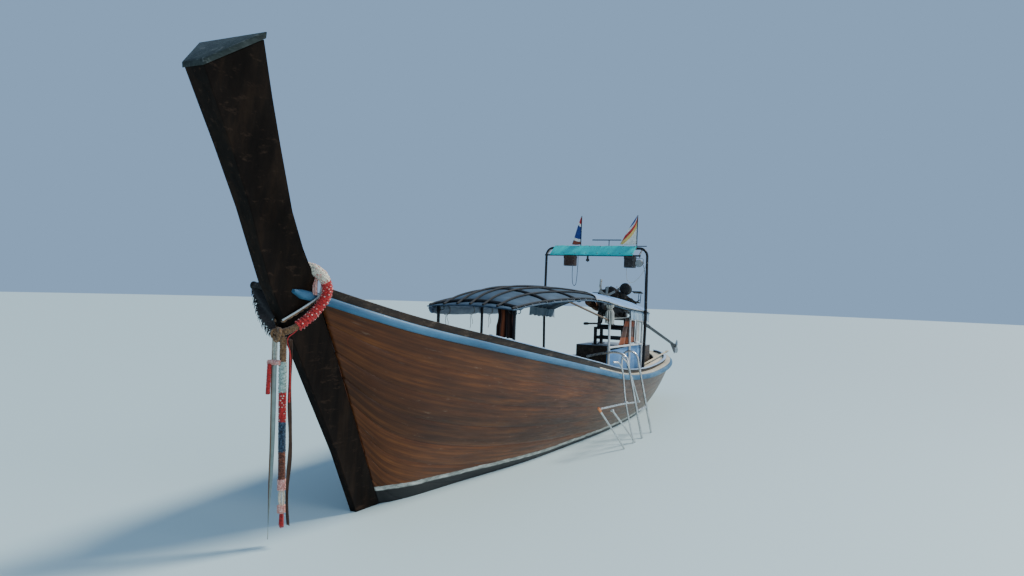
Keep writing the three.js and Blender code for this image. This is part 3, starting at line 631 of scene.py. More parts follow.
# Inside of the hull.
# Sawn ribs on the planking, each with a floor timber over the keelson; loose floor boards, three thwarts
# and a small fore deck, all oiled and worn pale where people step.
inner_wood = wood("inner_timber", (0.030, 0.014, 0.006), (0.085, 0.042, 0.018), (0.18, 0.10, 0.05), 0.55,
                  wear=(0.24, 0.17, 0.11))
softened(["keelson", "rib_fore", "rib_waist", "rib_middle", "rib_after", "rib_quarter", "rib_stern"],
         inner_wood, "rail_wood", 0.003)
RIBS_X = (2.88, 1.90, 0.875, -0.08, -0.94, -1.85, -2.72, -3.08)  # between the CAD model's ribs
RIB_LOW, RIB_HIGH, RIB_FACE, RIB_BACK, RIB_HALF = 0.06, 0.875, 0.052, 0.016, 0.0021
for number, x in enumerate(RIBS_X):
    t = t_at(x, SHEER)
    for side_name, side in SIDES:
        rings = []
        for i in range(17):
            v = RIB_LOW + (RIB_HIGH - RIB_LOW) * i / 16
            corners = [hull_point(t + dt, v) - hull_normal(t + dt, v) * depth for dt, depth in (
                (-RIB_HALF, RIB_BACK), (RIB_HALF, RIB_BACK), (RIB_HALF, RIB_FACE), (-RIB_HALF, RIB_FACE))]
            rings.append([Vector((p.x, side * max(p.y, KEEL_HALF + 0.0005), p.z)) for p in corners])
        rib = skin(f"rib_between_{number}_{side_name}", rings)
        eased(rib, 0.003, 2)
        fitted(rib, "hull", "rail_wood", inner_wood)


def plank_block(bm, low, high, ease=0.003, steps=2):
    """A sawn board or plate between two corners, with its edges eased, added to the bmesh."""
    size = [b - a for a, b in zip(low, high)]
    place = Matrix.Translation([(a + b) / 2 for a, b in zip(low, high)]) @ Matrix.Diagonal((*size, 1))
    made = bmesh.ops.create_cube(bm, size=1, matrix=place)["verts"]
    edges = list({e for v in made for e in v.link_edges})
    bmesh.ops.bevel(bm, geom=edges, offset=min(ease, 0.4 * min(size)), affect="EDGES", segments=steps,
                    profile=0.5, material=-1)


def inside_half(x, z):
    """Half the breadth between the planks at a place along the boat and a height."""
    t = t_at(x, SHEER)
    for _ in range(8):
        low, high = 0.0, 1.0
        for _ in range(18):
            middle = (low + high) / 2
            low, high = (middle, high) if hull_point(t, middle).z < z else (low, middle)
        p = hull_point(t, low)
        t = min(1.0, max(0.0, t + (p.x - x) / 14))
    return p.y - PLANK / max(0.3, abs(hull_normal(t, low).y))


floor_wood = wood("floor_board", (0.060, 0.036, 0.020), (0.13, 0.085, 0.050), (0.24, 0.17, 0.11), 0.62,
                  wear=(0.32, 0.25, 0.18))
bm = bmesh.new()
FLOOR_TOP, FLOOR_THICK, BOARD, STEP, BUTT = -0.050, 0.0195, 0.118, 0.122, -0.62
for row in range(-4, 4):
    low = row * STEP + (STEP - BOARD) / 2
    high = low + BOARD
    reach = max(abs(low), abs(high)) + 0.092
    ends = [x / 100 for x in range(-264, 205, 6) if inside_half(x / 100, FLOOR_TOP - 0.02) > reach]
    if ends:
        for a, b in ((ends[0], BUTT), (BUTT + 0.004, ends[-1])):
            plank_block(bm, (a, low, FLOOR_TOP - FLOOR_THICK), (b, high, FLOOR_TOP))
fixed("floor_board_set", bm, "rail_wood", floor_wood, "floor_boards")
thwart_wood = wood("thwart_oiled", (0.040, 0.018, 0.008), (0.12, 0.060, 0.026), (0.24, 0.135, 0.070), 0.45,
                   0.1, wear=(0.30, 0.20, 0.13))
THWART = 0.026
for name, x0, x1, z in (("fore", 2.96, 2.76, 1.05), ("middle", 1.96, 1.74, 0.87), ("aft", 0.76, 0.56, 0.69)):
    bm = bmesh.new()
    board = (x0 - x1) / 2
    for a in (x1 + 0.001, x1 + board + 0.001):
        b = a + board - 0.002
        reach = min(inside_half(a, z), inside_half(b, z)) - 0.004
        plank_block(bm, (a, -reach, z), (b, reach, z + THWART), 0.005, 3)
    fixed(f"thwart_boards_{name}", bm, "rail_wood", thwart_wood, f"thwart_{name}")
softened(["fore_deck"], thwart_wood, "rail_wood", 0.003)

# Canopy.
# A slate blue tarpaulin held up under dark steel battens and hoops, and aft a second, pale blue sheet laid
# over them that is painted sky reflection on the roof; the canopy stands on four dark posts, the arch's legs
# and the white rail frame.
# Each row: x, half width, height in the middle, height at the edge.
ROOF = [
    (1.93, 0.450, 1.500, 1.480),
    (1.70, 0.475, 1.585, 1.505),
    (1.43, 0.500, 1.640, 1.530),
    (1.05, 0.550, 1.678, 1.553),
    (0.41, 0.620, 1.688, 1.567),
    (-0.04, 0.660, 1.676, 1.540),
    (-0.38, 0.675, 1.660, 1.495),
    (-0.985, 0.682, 1.625, 1.440),
    (-1.74, 0.682, 1.572, 1.392),
]
CROWN = [(x, half, top) for x, half, top, edge in ROOF]
EAVES = [(x, half, edge) for x, half, top, edge in ROOF]
ROOF_FORE, ROOF_AFT = ROOF[0][0], ROOF[-1][0]


def roof_at(x):
    """Half width, middle height and edge height of the roof at x."""
    t = t_at(x, CROWN, 26)
    top = through(CROWN, t)
    return top.y, top.z, through(EAVES, t).z


def roof_point(x, f, drop=0.0):
    """A point on the roof at f of its half width to port, lowered by drop."""
    half, crown, edge = roof_at(x)
    return Vector((x, f * half, crown - (crown - edge) * f * f - drop))


def roof_over(x, y, drop):
    """The point of the roof, lowered by drop, over a place on the boat."""
    return roof_point(x, y / roof_at(x)[0], drop)


def cloth(name, colour, faded, rough=0.7, weave=420, sheen=0.2):
    """Woven cloth drawn on its own UV map, faded in patches and darker where it is soiled."""
    made, tree, shader, where = blank(name, rough)
    shader.inputs["Sheen Weight"].default_value = sheen
    base = ramp(tree, noise(tree, where["Object"], 4.5, (1, 1, 1), 7, 0.65), (0.36, colour), (0.64, faded))
    threads = [node(tree, "TexWave", {"bands_direction": way}, Vector=where["UV"], Scale=weave / 6.3,
                    Distortion=0.6, Detail=1.0).outputs["Fac"] for way in ("X", "Y")]
    lattice = maths(tree, "MULTIPLY", *threads)
    coloured(tree, shader, over(tree, 0.6, base, ramp(tree, lattice, (0.0, 0.72), (0.7, 1)), "MULTIPLY"))
    bumped(tree, shader, lattice, 0.3, 0.0006)
    return made


HOOPS = [1.80, 1.25, 0.66, -0.20, -0.86, -1.52]
BATTENS = [-0.96, -0.62, -0.3, 0, 0.3, 0.62, 0.96]
tarp_slate = cloth("tarpaulin_slate", (0.026, 0.056, 0.092), (0.056, 0.105, 0.160), 0.7, sheen=0.0)
# The pale blue tarpaulin is painted sky reflection: a lighter copy of the slate tarpaulin, laid over the aft
# roof.
tarp_sky_reflection = cloth("tarpaulin_painted_sky_reflection", (0.13, 0.29, 0.54), (0.25, 0.43, 0.68), 0.6, sheen=0.0)


def laid_sheet(name, front, lift, count):
    """A thin sheet over the roof's curve, aft from front(f); lift gives its drop for an x and an f."""
    rings = []
    for i in range(count):
        ring = []
        for j in range(49):
            f = -1 + 2 * j / 48
            x = front(f) + (ROOF_AFT - front(f)) * i / (count - 1)
            ring.append(roof_point(x, f, lift(x, f)))
        rings.append(ring)
    made = sheet(name, rings, 0.003, -1)
    if made.data.polygons[2000].normal.z < 0:
        made.data.flip_normals()
    return made


def in_bay(f):
    """How far f lies from one batten to the next, as the height of an arc over the bay."""
    bay = max(k for k in range(6) if BATTENS[k] <= max(f, -0.96))
    return math.sin(math.pi * between(f, BATTENS[bay + 1], BATTENS[bay], 1.0, 0.0))


def under_frame(x, f):
    """Drop of the slate sheet: just under the battens, pushed down by each hoop and billowed between."""
    dip = 0.019 * max(math.exp(-((x - hoop) / 0.05) ** 2) for hoop in HOOPS)
    return 0.0245 + dip - 0.004 * in_bay(f)


def over_frame(x, f):
    """Drop of the pale sheet of painted sky reflection, which sags a little between battens and flutters at
    its edges.
    """
    return 0.003 * in_bay(f) + 0.004 * max(0.0, abs(f) - 0.96) / 0.04 * math.sin(x * 21)


# The front edge of the pale sheet of painted sky reflection, reaching further forward at the roof's edges.
def reflection_front(f):
    return -0.64 + 0.89 * abs(f) ** 1.6


def turn(count):
    """Angles once round."""
    return [2 * math.pi * k / count for k in range(count + 1)]


tarp = laid_sheet("canopy_tarpaulin", lambda f: ROOF_FORE, under_frame, 111)
fitted(tarp, "hull", "canopy_skin", tarp_slate, "canopy_roof")
sky_reflection_sheet = fitted(laid_sheet("canopy_painted_sky_reflection", reflection_front, over_frame, 61), "hull", "canopy_skin", tarp_sky_reflection)
# A cream hem runs along the front and both sides of the pale sheet of painted sky reflection.
hem_cream = cloth("reflection_sheet_hem_cream", (0.36, 0.35, 0.30), (0.56, 0.54, 0.46), 0.7, 900)
fs = [-1 + 2 * i / 60 for i in range(61)]
bm = bmesh.new()
tube(bm, [roof_point(reflection_front(f), f, 0.004) for f in fs], 0.0048, 8)
for side in (-1, 1):
    tube(bm, [roof_point(0.25 - 1.985 * i / 60, side, 0.006) for i in range(61)], 0.0048, 8)
reflection_sheet_hem = fixed("reflection_sheet_hem", bm, "canopy_skin", hem_cream)
bm = bmesh.new()
for side in (-1, 1):
    tube(bm, [roof_point(ROOF_FORE - 3.67 * i / 60, side, 0.0270) for i in range(61)], 0.0060, 8)
for x in (ROOF_FORE - 0.006, ROOF_AFT + 0.006):
    tube(bm, [roof_point(x, f, 0.0270) for f in fs], 0.0060, 8)
hem = fixed("tarpaulin_hem", bm, "canopy_skin", tarp_slate)
bm = bmesh.new()
for side in (-1, 1):
    for i in range(27):
        centre = roof_point(1.86 - 3.54 * i / 26, side * 0.985, 0.022)
        tube(bm, [centre + Vector((0.004 * math.sin(2 * a), side * 0.013 * math.cos(a), 0.012 * math.sin(a)))
                  for a in turn(12)], 0.0018, 5)
lace_cord = cloth("lacing_cord", (0.42, 0.43, 0.42), (0.60, 0.60, 0.57), 0.8, 900)
lacing = fixed("tarpaulin_lacing", bm, "canopy_skin", lace_cord)


def metal_paint(name, colour, chipped, rough=0.4, chips=0.66, metal=0.0):
    """Painted or bare steel with scratches, and rust or bare metal in the chips."""
    made, tree, shader, where = blank(name, rough, metal=metal)
    place = where["Object"]
    base = ramp(tree, noise(tree, place, 9), (0.35, [0.7 * c for c in colour]), (0.65, colour))
    chip = noise(tree, place, 42, (1, 1, 0.6), 10, 0.72)
    coloured(tree, shader, over(tree, ramp(tree, chip, (chips, BLACK), (chips + 0.03, WHITE)), base, chipped))
    roughened(tree, shader, chip, (0.35, rough * 0.7), (chips, rough * 1.8))
    bumped(tree, shader, chip, 0.15, 0.0012)
    return made


post_paint = metal_paint("post_paint_dark", (0.020, 0.022, 0.024), (0.11, 0.06, 0.035))
HOOP_DROP, HOOP_R, BATTEN_DROP, BATTEN_R = 0.0268, 0.0155, 0.0138, 0.0105
bm = bmesh.new()
for x in HOOPS:
    tube(bm, [roof_point(x, -0.985 + 1.97 * i / 32, HOOP_DROP) for i in range(33)], HOOP_R, 10)
for f in BATTENS:
    tube(bm, [roof_point(1.915 - 3.635 * i / 40, f, BATTEN_DROP) for i in range(41)], BATTEN_R, 8)
fixed("canopy_pipes", bm, "dark_wood", post_paint, "canopy_frame")
softened(["post_fore_port", "post_fore_starboard", "post_middle", "post_quarter"], post_paint, "dark_wood",
         0.003)
# Small scroll brackets where the posts meet the hoops.
scroll_paint = metal_paint("scroll_paint", (0.10, 0.12, 0.13), (0.14, 0.08, 0.05))
bm = bmesh.new()
for x, y, way in ((1.80, 0.405, 1), (1.80, 0.405, -1), (1.80, -0.405, 1), (0.66, -0.545, -1),
                  (-0.20, -0.644, 1)):
    top = roof_over(x, y, 0.044).z
    path = [(x, y + way * (0.013 + 0.004 * k), top - 0.062 + 0.009 * k) for k in range(3)]
    for k in range(17):
        a, r = math.pi * (1.25 - k / 16 * 1.9), 0.026 - 0.012 * k / 16
        path.append((x, y + way * (0.042 + r * math.cos(a)), top - 0.028 + r * math.sin(a)))
    tube(bm, path, 0.0042, 6)
fixed("post_scrolls", bm, "dark_wood", scroll_paint)

# White rail frame and side panel.
# Welded white tube on the port side, with a brace up to the roof and a knob on its rail; behind it a
# thin board, painted blue and framed with a batten.
white_paint = metal_paint("rail_white", (0.60, 0.62, 0.62), (0.26, 0.18, 0.12), 0.38, 0.66)
brace_paint = metal_paint("brace_brown", (0.16, 0.11, 0.075), (0.34, 0.31, 0.26), 0.5, 0.60)
panel_paint = painted("side_panel_blue", (0.075, 0.18, 0.36), (0.16, 0.31, 0.52), (0.30, 0.27, 0.22), 0.45,
                      0.66)
RAIL_Y, RAIL_POSTS, KNOB_X = 0.644, (-0.20, -1.00, -1.52), -1.28


def deck_top(x):
    """Height of the covering board's top."""
    return through(SHEER, t_at(x, SHEER)).z + 0.0187


bm = bmesh.new()
for x in RAIL_POSTS:
    foot = deck_top(x)
    top = roof_over(x, RAIL_Y, 0.0438 if x in HOOPS else 0.0345).z
    for low, high, radius in ((foot, top, 0.0138), (foot, foot + 0.006, 0.027), (0.955, 1.010, 0.0168)):
        tube(bm, [(x, RAIL_Y, low), (x, RAIL_Y, high)], radius, 14)
tube(bm, [(x, RAIL_Y, z) for x, z in zip(RAIL_POSTS, (1.003, 0.986, 0.972))], 0.0122, 14)
tube(bm, [(KNOB_X, RAIL_Y, z) for z in (0.979, 1.002, roof_point(KNOB_X, 0.944, 0.036).z)], 0.0075, 10)
bmesh.ops.create_uvsphere(bm, u_segments=20, v_segments=12, radius=0.026, matrix=Matrix.Translation(
    (KNOB_X, RAIL_Y, 1.006)) @ Matrix.Diagonal((1, 1, 0.8, 1)))
fixed("rail_tubes", bm, "white_paint", white_paint, "rail_frame")
bm = bmesh.new()
brace_top = roof_over(0.87, 0.552, 0.034)
tube(bm, [(-0.20, RAIL_Y, 1.310), (0.335, 0.598, (1.310 + brace_top.z) / 2), (0.870, 0.552, brace_top.z)],
     0.0105, 12)
tube(bm, [(-0.215, RAIL_Y, 1.304), (-0.185, RAIL_Y, 1.316)], 0.019, 14)
fixed("roof_brace", bm, "white_paint", brace_paint)
face = RAIL_Y - 0.014 * math.cos(math.pi / 8) - 0.00035
low = deck_top(-0.85)
bm = bmesh.new()
for a, b in ((-1.510, -1.282), (-1.278, -1.002), (-0.998, -0.192)):
    plank_block(bm, (a, face - 0.010, low + 0.002), (b, face, 0.965), 0.0025)
    for z in (low + 0.004, 0.940):
        plank_block(bm, (a + 0.004, face - 0.016, z), (b - 0.004, face - 0.010, z + 0.024), 0.002)
fixed("side_boards", bm, "blue_paint", panel_paint, "side_panel")

# Valances.
# Strips of pale cloth sewn under the hem aft on both sides, bound with a thin rope at the foot.
valance_cloth = cloth("valance_cloth", (0.18, 0.28, 0.38), (0.32, 0.43, 0.52), 0.75, sheen=0.05)
for side_name, side in SIDES:
    rings = []
    for i in range(73):
        x = -0.90 - 0.83 * i / 72
        half, crown, edge = roof_at(x)
        depth, fold = 0.102 + 0.006 * math.sin(i * 0.55), 0.008 * math.sin(x * 46 + 1.3 * math.sin(x * 17))
        rings.append([Vector((x, side * (half - 0.004 + fold * down), edge - 0.0340 - depth * down))
                      for down in [k / 8 for k in range(9)]])
    strip = sheet("valance_" + side_name, rings, 0.0022)
    fitted(strip, "hull", "canopy_skin", valance_cloth)
    bm = bmesh.new()
    tube(bm, [ring[-1] - Vector((0, 0, 0.002)) for ring in rings], 0.0040, 8)
    rope = fixed("valance_rope_" + side_name, bm, "canopy_skin", lace_cord)

# Rolled curtain.
# The starboard side curtain of blue-grey coated cloth, rolled up on itself along the outer faces of the
# posts; three tapes tie it to the roof's edge, and their ends hang down.
curtain_cloth = cloth("curtain_cloth", (0.20, 0.28, 0.38), (0.34, 0.43, 0.54), 0.6)
ROLL = [Vector(p) for p in ((1.835, -0.460, 1.424), (0.66, -0.604, 1.396), (-0.225, -0.709, 1.386))]
TURNS, TIES, POSTS_X = 4.5, (1.50, 0.85, 0.30), (1.80, 0.66, -0.20)


def roll_at(x):
    """The middle of the rolled curtain at x, sagging a little between the posts."""
    a, b = ROLL[:2] if x > ROLL[1].x else ROLL[1:]
    w = (a.x - x) / (a.x - b.x)
    return a.lerp(b, w) - Vector((0, 0, 0.012 * math.sin(math.pi * max(0.0, min(1.0, w)))))


def hoop(bm, centre, one, other, wire, count=28, sides=6):
    """A ring of wire or cord round a centre; one and other are its two half axes."""
    one, other = Vector(one), Vector(other)
    tube(bm, [Vector(centre) + one * math.cos(a) + other * math.sin(a) for a in turn(count)], wire, sides)


rings = []
for i in range(91):
    x = 1.832 - 2.052 * i / 90
    centre = roll_at(x)
    near_post = max(math.exp(-((x - p) / 0.05) ** 2) for p in POSTS_X)
    tied = max(math.exp(-((x - p) / 0.02) ** 2) for p in TIES)
    wide = (0.049 - 0.0085 * near_post) * (1 - 0.10 * tied) * (1 + 0.03 * math.sin(x * 11))
    ring = []
    for k in range(109):
        a = 2 * math.pi * TURNS * k / 108
        r = (0.18 + 0.82 * k / 108) * wide * (1 + 0.03 * math.sin(3 * a + 7 * x))
        p = centre + Vector((0.12 * r * math.cos(a), r * math.cos(a), r * math.sin(a)))
        if x > 1.3:
            p.z = min(p.z, roof_point(x, -0.97, 0.049).z)
        ring.append(p)
    rings.append(ring)
curtain = sheet("curtain_rolled", rings, 0.0016)
fitted(curtain, "hull", "curtain_cloth", curtain_cloth, "curtain_roll")
tape = cloth("curtain_tape", (0.20, 0.17, 0.13), (0.40, 0.36, 0.28), 0.8, 900)
bm = bmesh.new()
TIE_R = 0.0475
for x in TIES:
    centre = roll_at(x)
    hoop(bm, centre, (0, TIE_R, 0), (0, 0, TIE_R), 0.0034)
    tube(bm, [centre + Vector((0.0, 0.2 * TIE_R, TIE_R)), roof_point(x, -0.965, 0.030)], 0.0026, 6)
    for way, drop in ((1, 0.150), (-1, 0.105)):
        tube(bm, [centre + Vector((way * 0.010 * (1 + k / 5) + 0.010 * math.sin(k * 0.8), 0.2 * TIE_R,
                                   -TIE_R - drop * k / 8)) for k in range(9)], 0.0026, 6)
ties = fixed("curtain_tapes", bm, "curtain_cloth", tape)

# Arch.
# Bent steel pipe painted black, bolted to the side decks aft, with a lower crossbar on two ties, two flag
# staffs, an aerial bar and a sheet of teal plastic screwed on top.
ARCH_X, ARCH_TOP = -1.45, 2.103
BAR_X, BAR_Z = ARCH_X + 0.15, 2.105  # the lower crossbar
pipe_black = metal_paint("pipe_black", (0.010, 0.010, 0.011), (0.11, 0.06, 0.035), 0.35, 0.66)
bolt_metal = metal_paint("bolt_metal", (0.30, 0.30, 0.29), (0.16, 0.08, 0.04), 0.45, 0.56, 0.8)
ACROSS, UPWARD, FORWARD = (0, 1, 0), (0, 0, 1), (1, 0, 0)


def disc(bm, centre, axis, radius, height, sides=16, ease=0.0):
    """A short round boss, washer or bolt head that stands on centre and points along axis."""
    centre, axis = Vector(centre), Vector(axis).normalized()
    if ease:
        points = [centre, centre + axis * (height - ease), centre + axis * height]
        tube(bm, points, [radius, radius, radius - ease], sides)
    else:
        tube(bm, [centre, centre + axis * height], radius, sides)


def arch_side(side):
    """Half of the arch's pipe, from its foot over the bend."""
    leg = [(0.698, deck_top(ARCH_X)), (0.712, 1.30), (0.708, 1.75), (0.705, ARCH_TOP)]
    bend = [(0.600 + 0.105 * math.cos(a), ARCH_TOP + 0.105 * math.sin(a)) for a in turn(36)[1:10]]
    return [(ARCH_X, side * y, z) for y, z in leg + bend]


bm = bmesh.new()
tube(bm, arch_side(-1) + arch_side(1)[::-1], 0.0165, 16)
tube(bm, [(BAR_X, -0.660, BAR_Z), (BAR_X, 0.660, BAR_Z)], 0.0105, 14)
for side in (-1, 1):
    tube(bm, [(ARCH_X, side * 0.640, 2.200), (BAR_X, side * 0.640, BAR_Z)], 0.0088, 12)
    x, y, z = arch_side(side)[0]
    plank_block(bm, (x - 0.045, y - 0.040, z), (x + 0.045, y + 0.028, z + 0.006), 0.002)
# Staffs and aerials. Each row: both ends as x from the arch, y and z, then the radius.
for one, other, radius in [((-0.012, -0.215, 2.198), (-0.016, -0.215, 2.640), 0.0055),
                           ((-0.012, 0.558, 2.198), (-0.016, 0.558, 2.642), 0.0055),
                           ((-0.012, 0.180, 2.198), (-0.014, 0.180, 2.318), 0.0058),
                           ((-0.014, -0.053, 2.318), (-0.014, 0.346, 2.318), 0.0068),
                           ((-0.013, 0.545, 2.238), (-0.013, 0.690, 2.238), 0.0058)]:
    tube(bm, [(ARCH_X + x, y, z) for x, y, z in (one, other)], radius, 10)
fixed("arch_pipes", bm, "black_pipe", pipe_black, "arch_frame")
bm = bmesh.new()
for side in (-1, 1):
    x, y, z = arch_side(side)[0]
    for dx in (-0.033, 0.033):
        for dy in (-0.028, 0.016):
            disc(bm, (x + dx, y + dy, z + 0.006), UPWARD, 0.0062, 0.005, 6)
    for z in (1.42, 1.52, 2.02):
        hoop(bm, (ARCH_X, side * 0.7085, z), (0.0175, 0, 0), (0, 0.0175, 0), 0.0022, 16)
fixed("arch_bolts", bm, "steel_tube", bolt_metal)

# Screwed sheet on the arch, with a folded lip and a shallow bow along its length.
teal = painted("board_teal", (0.006, 0.42, 0.42), (0.02, 0.60, 0.58), (0.32, 0.62, 0.58), 0.25, 0.72)
SECTION = [(0.1709, 2.1036), (0.1779, 2.1136), (0.1765, 2.1180), (0.0925, 2.1795), (0.0100, 2.2400),
           (0.0069, 2.2396), (-0.0001, 2.2296), (0.0855, 2.1690), (0.1660, 2.1075)]
rings = []
for i in range(49):
    sag = 0.0022 * math.sin(math.pi * i / 8) + 0.0015 * math.sin(i * 1.7)
    rings.append([Vector((ARCH_X + x, -0.580 + 1.140 * i / 48, z + (sag if 1 < k < 8 else 0.0)))
                  for k, (x, z) in enumerate(SECTION)])
board = skin("arch_sheet", rings)
eased(board, 0.0012, 2, 40)
fitted(board, "hull", "teal_board", teal, "arch_board")
bm = bmesh.new()
out = Vector((0.126, 0, 0.171)).normalized()
for k in range(8):
    for x, z in ((0.158, 2.1325), (0.020, 2.2340)):
        disc(bm, Vector((ARCH_X + x, -0.54 + 1.08 * k / 7, z)) - out * 0.001, out, 0.008, 0.0035, 12, 0.001)
fixed("arch_sheet_screws", bm, "steel_tube", bolt_metal)

# Horn and deck lamp.
# Moulded brown housings strapped under the lower crossbar, each with a lid seam and a round mouth that
# faces the bow, and a small dark lamp in its socket between them.
brown_shell = rubber("housing_brown", (0.048, 0.020, 0.011), 0.55)
dark_shell = rubber("housing_dark", (0.020, 0.018, 0.017), 0.5)
HANG_Z = BAR_Z - 0.011 * math.cos(math.pi / 6) - 0.00035
x0, x1, seam = ARCH_X + 0.09, ARCH_X + 0.20, HANG_Z - 0.030
for name, y0, y1, low, shell in (("starboard", -0.372, -0.222, 1.962, brown_shell),
                                 ("port", 0.456, 0.590, 1.951, dark_shell)):
    bm = bmesh.new()
    plank_block(bm, (x0, y0, low), (x1, y1, seam), 0.010, 4)
    plank_block(bm, (x0 - 0.002, y0 - 0.002, seam - 0.003), (x1 + 0.002, y1 + 0.002, HANG_Z - 0.001), 0.006,
                3)
    middle, mouth = ((y0 + y1) / 2, (low + seam) / 2), min(y1 - y0, seam - low) * 0.40
    for r, deep in ((mouth, 0.009), (mouth * 0.72, 0.006), (mouth * 0.42, 0.005)):
        hoop(bm, (x1 + deep - 0.004, *middle), (0, r, 0), (0, 0, r), 0.0032, 32, 8)
    disc(bm, (x1 - 0.003, *middle), FORWARD, mouth, 0.005, 28)
    disc(bm, (x1, *middle), FORWARD, mouth * 0.2, 0.010, 16, 0.003)
    fixed("horn_housing_" + name, bm, "brown_plastic", shell, "horn_box_" + name)
    bm = bmesh.new()
    for y in (y0 + 0.03, y1 - 0.03):
        for dx in (-0.014, 0.014):
            disc(bm, (BAR_X + dx, y, HANG_Z - 0.004), UPWARD, 0.0032, 0.032, 8)
        tube(bm, [(BAR_X - 0.014, y, 2.122), (BAR_X + 0.014, y, 2.122)], 0.0034, 8)
    for y in (y0 + 0.014, y1 - 0.014):
        for z in (low + 0.014, seam - 0.016):
            disc(bm, (x1 - 0.001, y, z), FORWARD, 0.0045, 0.003, 8)
    fixed("horn_fixings_" + name, bm, "lamp_metal", bolt_metal)
# Each row: name, slot, sides, then (drop below the crossbar, radius) down the lamp.
for name, slot, sides, profile in [
        ("bulb_socket", "black_pipe", 16, [(0.006, 0.013), (0.030, 0.013), (0.032, 0.0155), (0.036, 0.0155)]),
        ("deck_bulb", "lamp_metal", 20, [(0.034, 0.011), (0.042, 0.014), (0.052, 0.021), (0.064, 0.025),
                                         (0.074, 0.021), (0.082, 0.010), (0.086, 0.002)])]:
    bm = bmesh.new()
    tube(bm, [(BAR_X, -0.052, BAR_Z - drop) for drop, r in profile], [r for drop, r in profile], sides)
    fixed(name, bm, slot, dark_shell)

# Spotlight.
# A spun steel reflector in grey paint, on a swivel yoke under the port end of the crossbar.
lamp_paint = metal_paint("spotlight_grey", (0.14, 0.145, 0.145), (0.10, 0.07, 0.05), 0.4, 0.62)
LAMP_Y = 0.650
BACK, FRONT = Vector((ARCH_X + 0.070, LAMP_Y, 2.020)), Vector((ARCH_X + 0.190, LAMP_Y, 2.008))
REFLECTOR = [(0.0, 0.012), (0.03, 0.020), (0.10, 0.027), (0.22, 0.030), (0.23, 0.033), (0.28, 0.033),
             (0.29, 0.031), (0.55, 0.038), (0.80, 0.0455), (0.86, 0.0465), (0.87, 0.0485), (0.97, 0.0485),
             (1.0, 0.0460)]
bm = bmesh.new()
tube(bm, [BACK.lerp(FRONT, f) for f, r in REFLECTOR], [r for f, r in REFLECTOR], 32)
for side in (-1, 1):
    arm = [(0.050, 2.012), (0.050, 2.060), (0.030, 2.074), (0.0, 2.076)]
    tube(bm, [(BAR_X, LAMP_Y + side * y, z) for y, z in arm], 0.0035, 8)
    disc(bm, (BAR_X, LAMP_Y + side * 0.040, 2.014), (0, side, 0), 0.009, 0.016, 12, 0.002)
disc(bm, (BAR_X, LAMP_Y, 2.074), UPWARD, 0.0075, HANG_Z - 2.074, 12)
fixed("spotlight_body", bm, "lamp_metal", lamp_paint, "spotlight")
lens, tree, shader, where = blank("spotlight_lens", 0.08, coat=0.6)
flutes = node(tree, "TexWave", {"bands_direction": "Y"}, Vector=where["Object"], Scale=26.0).outputs["Fac"]
coloured(tree, shader, ramp(tree, flutes, (0.2, (0.13, 0.14, 0.14)), (0.8, (0.30, 0.32, 0.31))))
bumped(tree, shader, flutes, 0.4, 0.001)
bm = bmesh.new()
ahead = (FRONT - BACK).normalized()
tube(bm, [FRONT + ahead * d for d in (-0.002, 0.002, 0.006)], [0.0455, 0.0430, 0.0200], 32)
fixed("spotlight_glass", bm, "lamp_metal", lens)

# Pennants.
# Thin banded cloth, tied to the staffs by its hoist and hanging slack in soft folds.


def banded(name, colours, slant, width, start=0.0, way=1):
    """Thin cloth with bands of colour along one way of its UV map, slanted and each of a width in metres."""
    made, tree, shader, where = blank(name, 0.75)
    shader.inputs["Sheen Weight"].default_value = 0.2
    split = node(tree, "SeparateXYZ", Vector=where["UV"]).outputs
    along = spread(tree, maths(tree, "MULTIPLY_ADD", split[1 - way], slant, split[way]),
                   start, start + width * len(colours), 0.0, 1.0)
    bands = node(tree, "ValToRGB", Fac=along)
    bands.color_ramp.interpolation = "CONSTANT"
    for k, colour in enumerate(colours):
        stop = bands.color_ramp.elements[k] if k < 2 else bands.color_ramp.elements.new(k / len(colours))
        stop.position, stop.color = k / len(colours), (*colour, 1)
    soil = ramp(tree, noise(tree, where["Object"], 22, (1, 1, 1), 7), (0.3, (0.72, 0.70, 0.66)), (0.6, WHITE))
    coloured(tree, shader, over(tree, 0.7, bands.outputs["Color"], soil, "MULTIPLY"))
    threads = node(tree, "TexWave", {"bands_direction": "X"}, Vector=where["UV"], Scale=190.0).outputs["Fac"]
    bumped(tree, shader, threads, 0.2, 0.0004)
    return made


RED, CREAM, BLUE = (0.50, 0.03, 0.03), (0.72, 0.72, 0.68), (0.02, 0.04, 0.20)
BROWN, YELLOW = (0.22, 0.05, 0.03), (0.70, 0.50, 0.16)
stripes_dark = banded("pennant_banded", [RED] * 3 + [CREAM] + [BLUE] * 5 + [CREAM] + [BROWN] * 2, 0.35,
                      0.0335, 0, 0)
stripes_bright = banded("pennant_bright", [CREAM, CREAM, YELLOW, RED, CREAM, BLUE], -0.45, 0.038, -0.14)
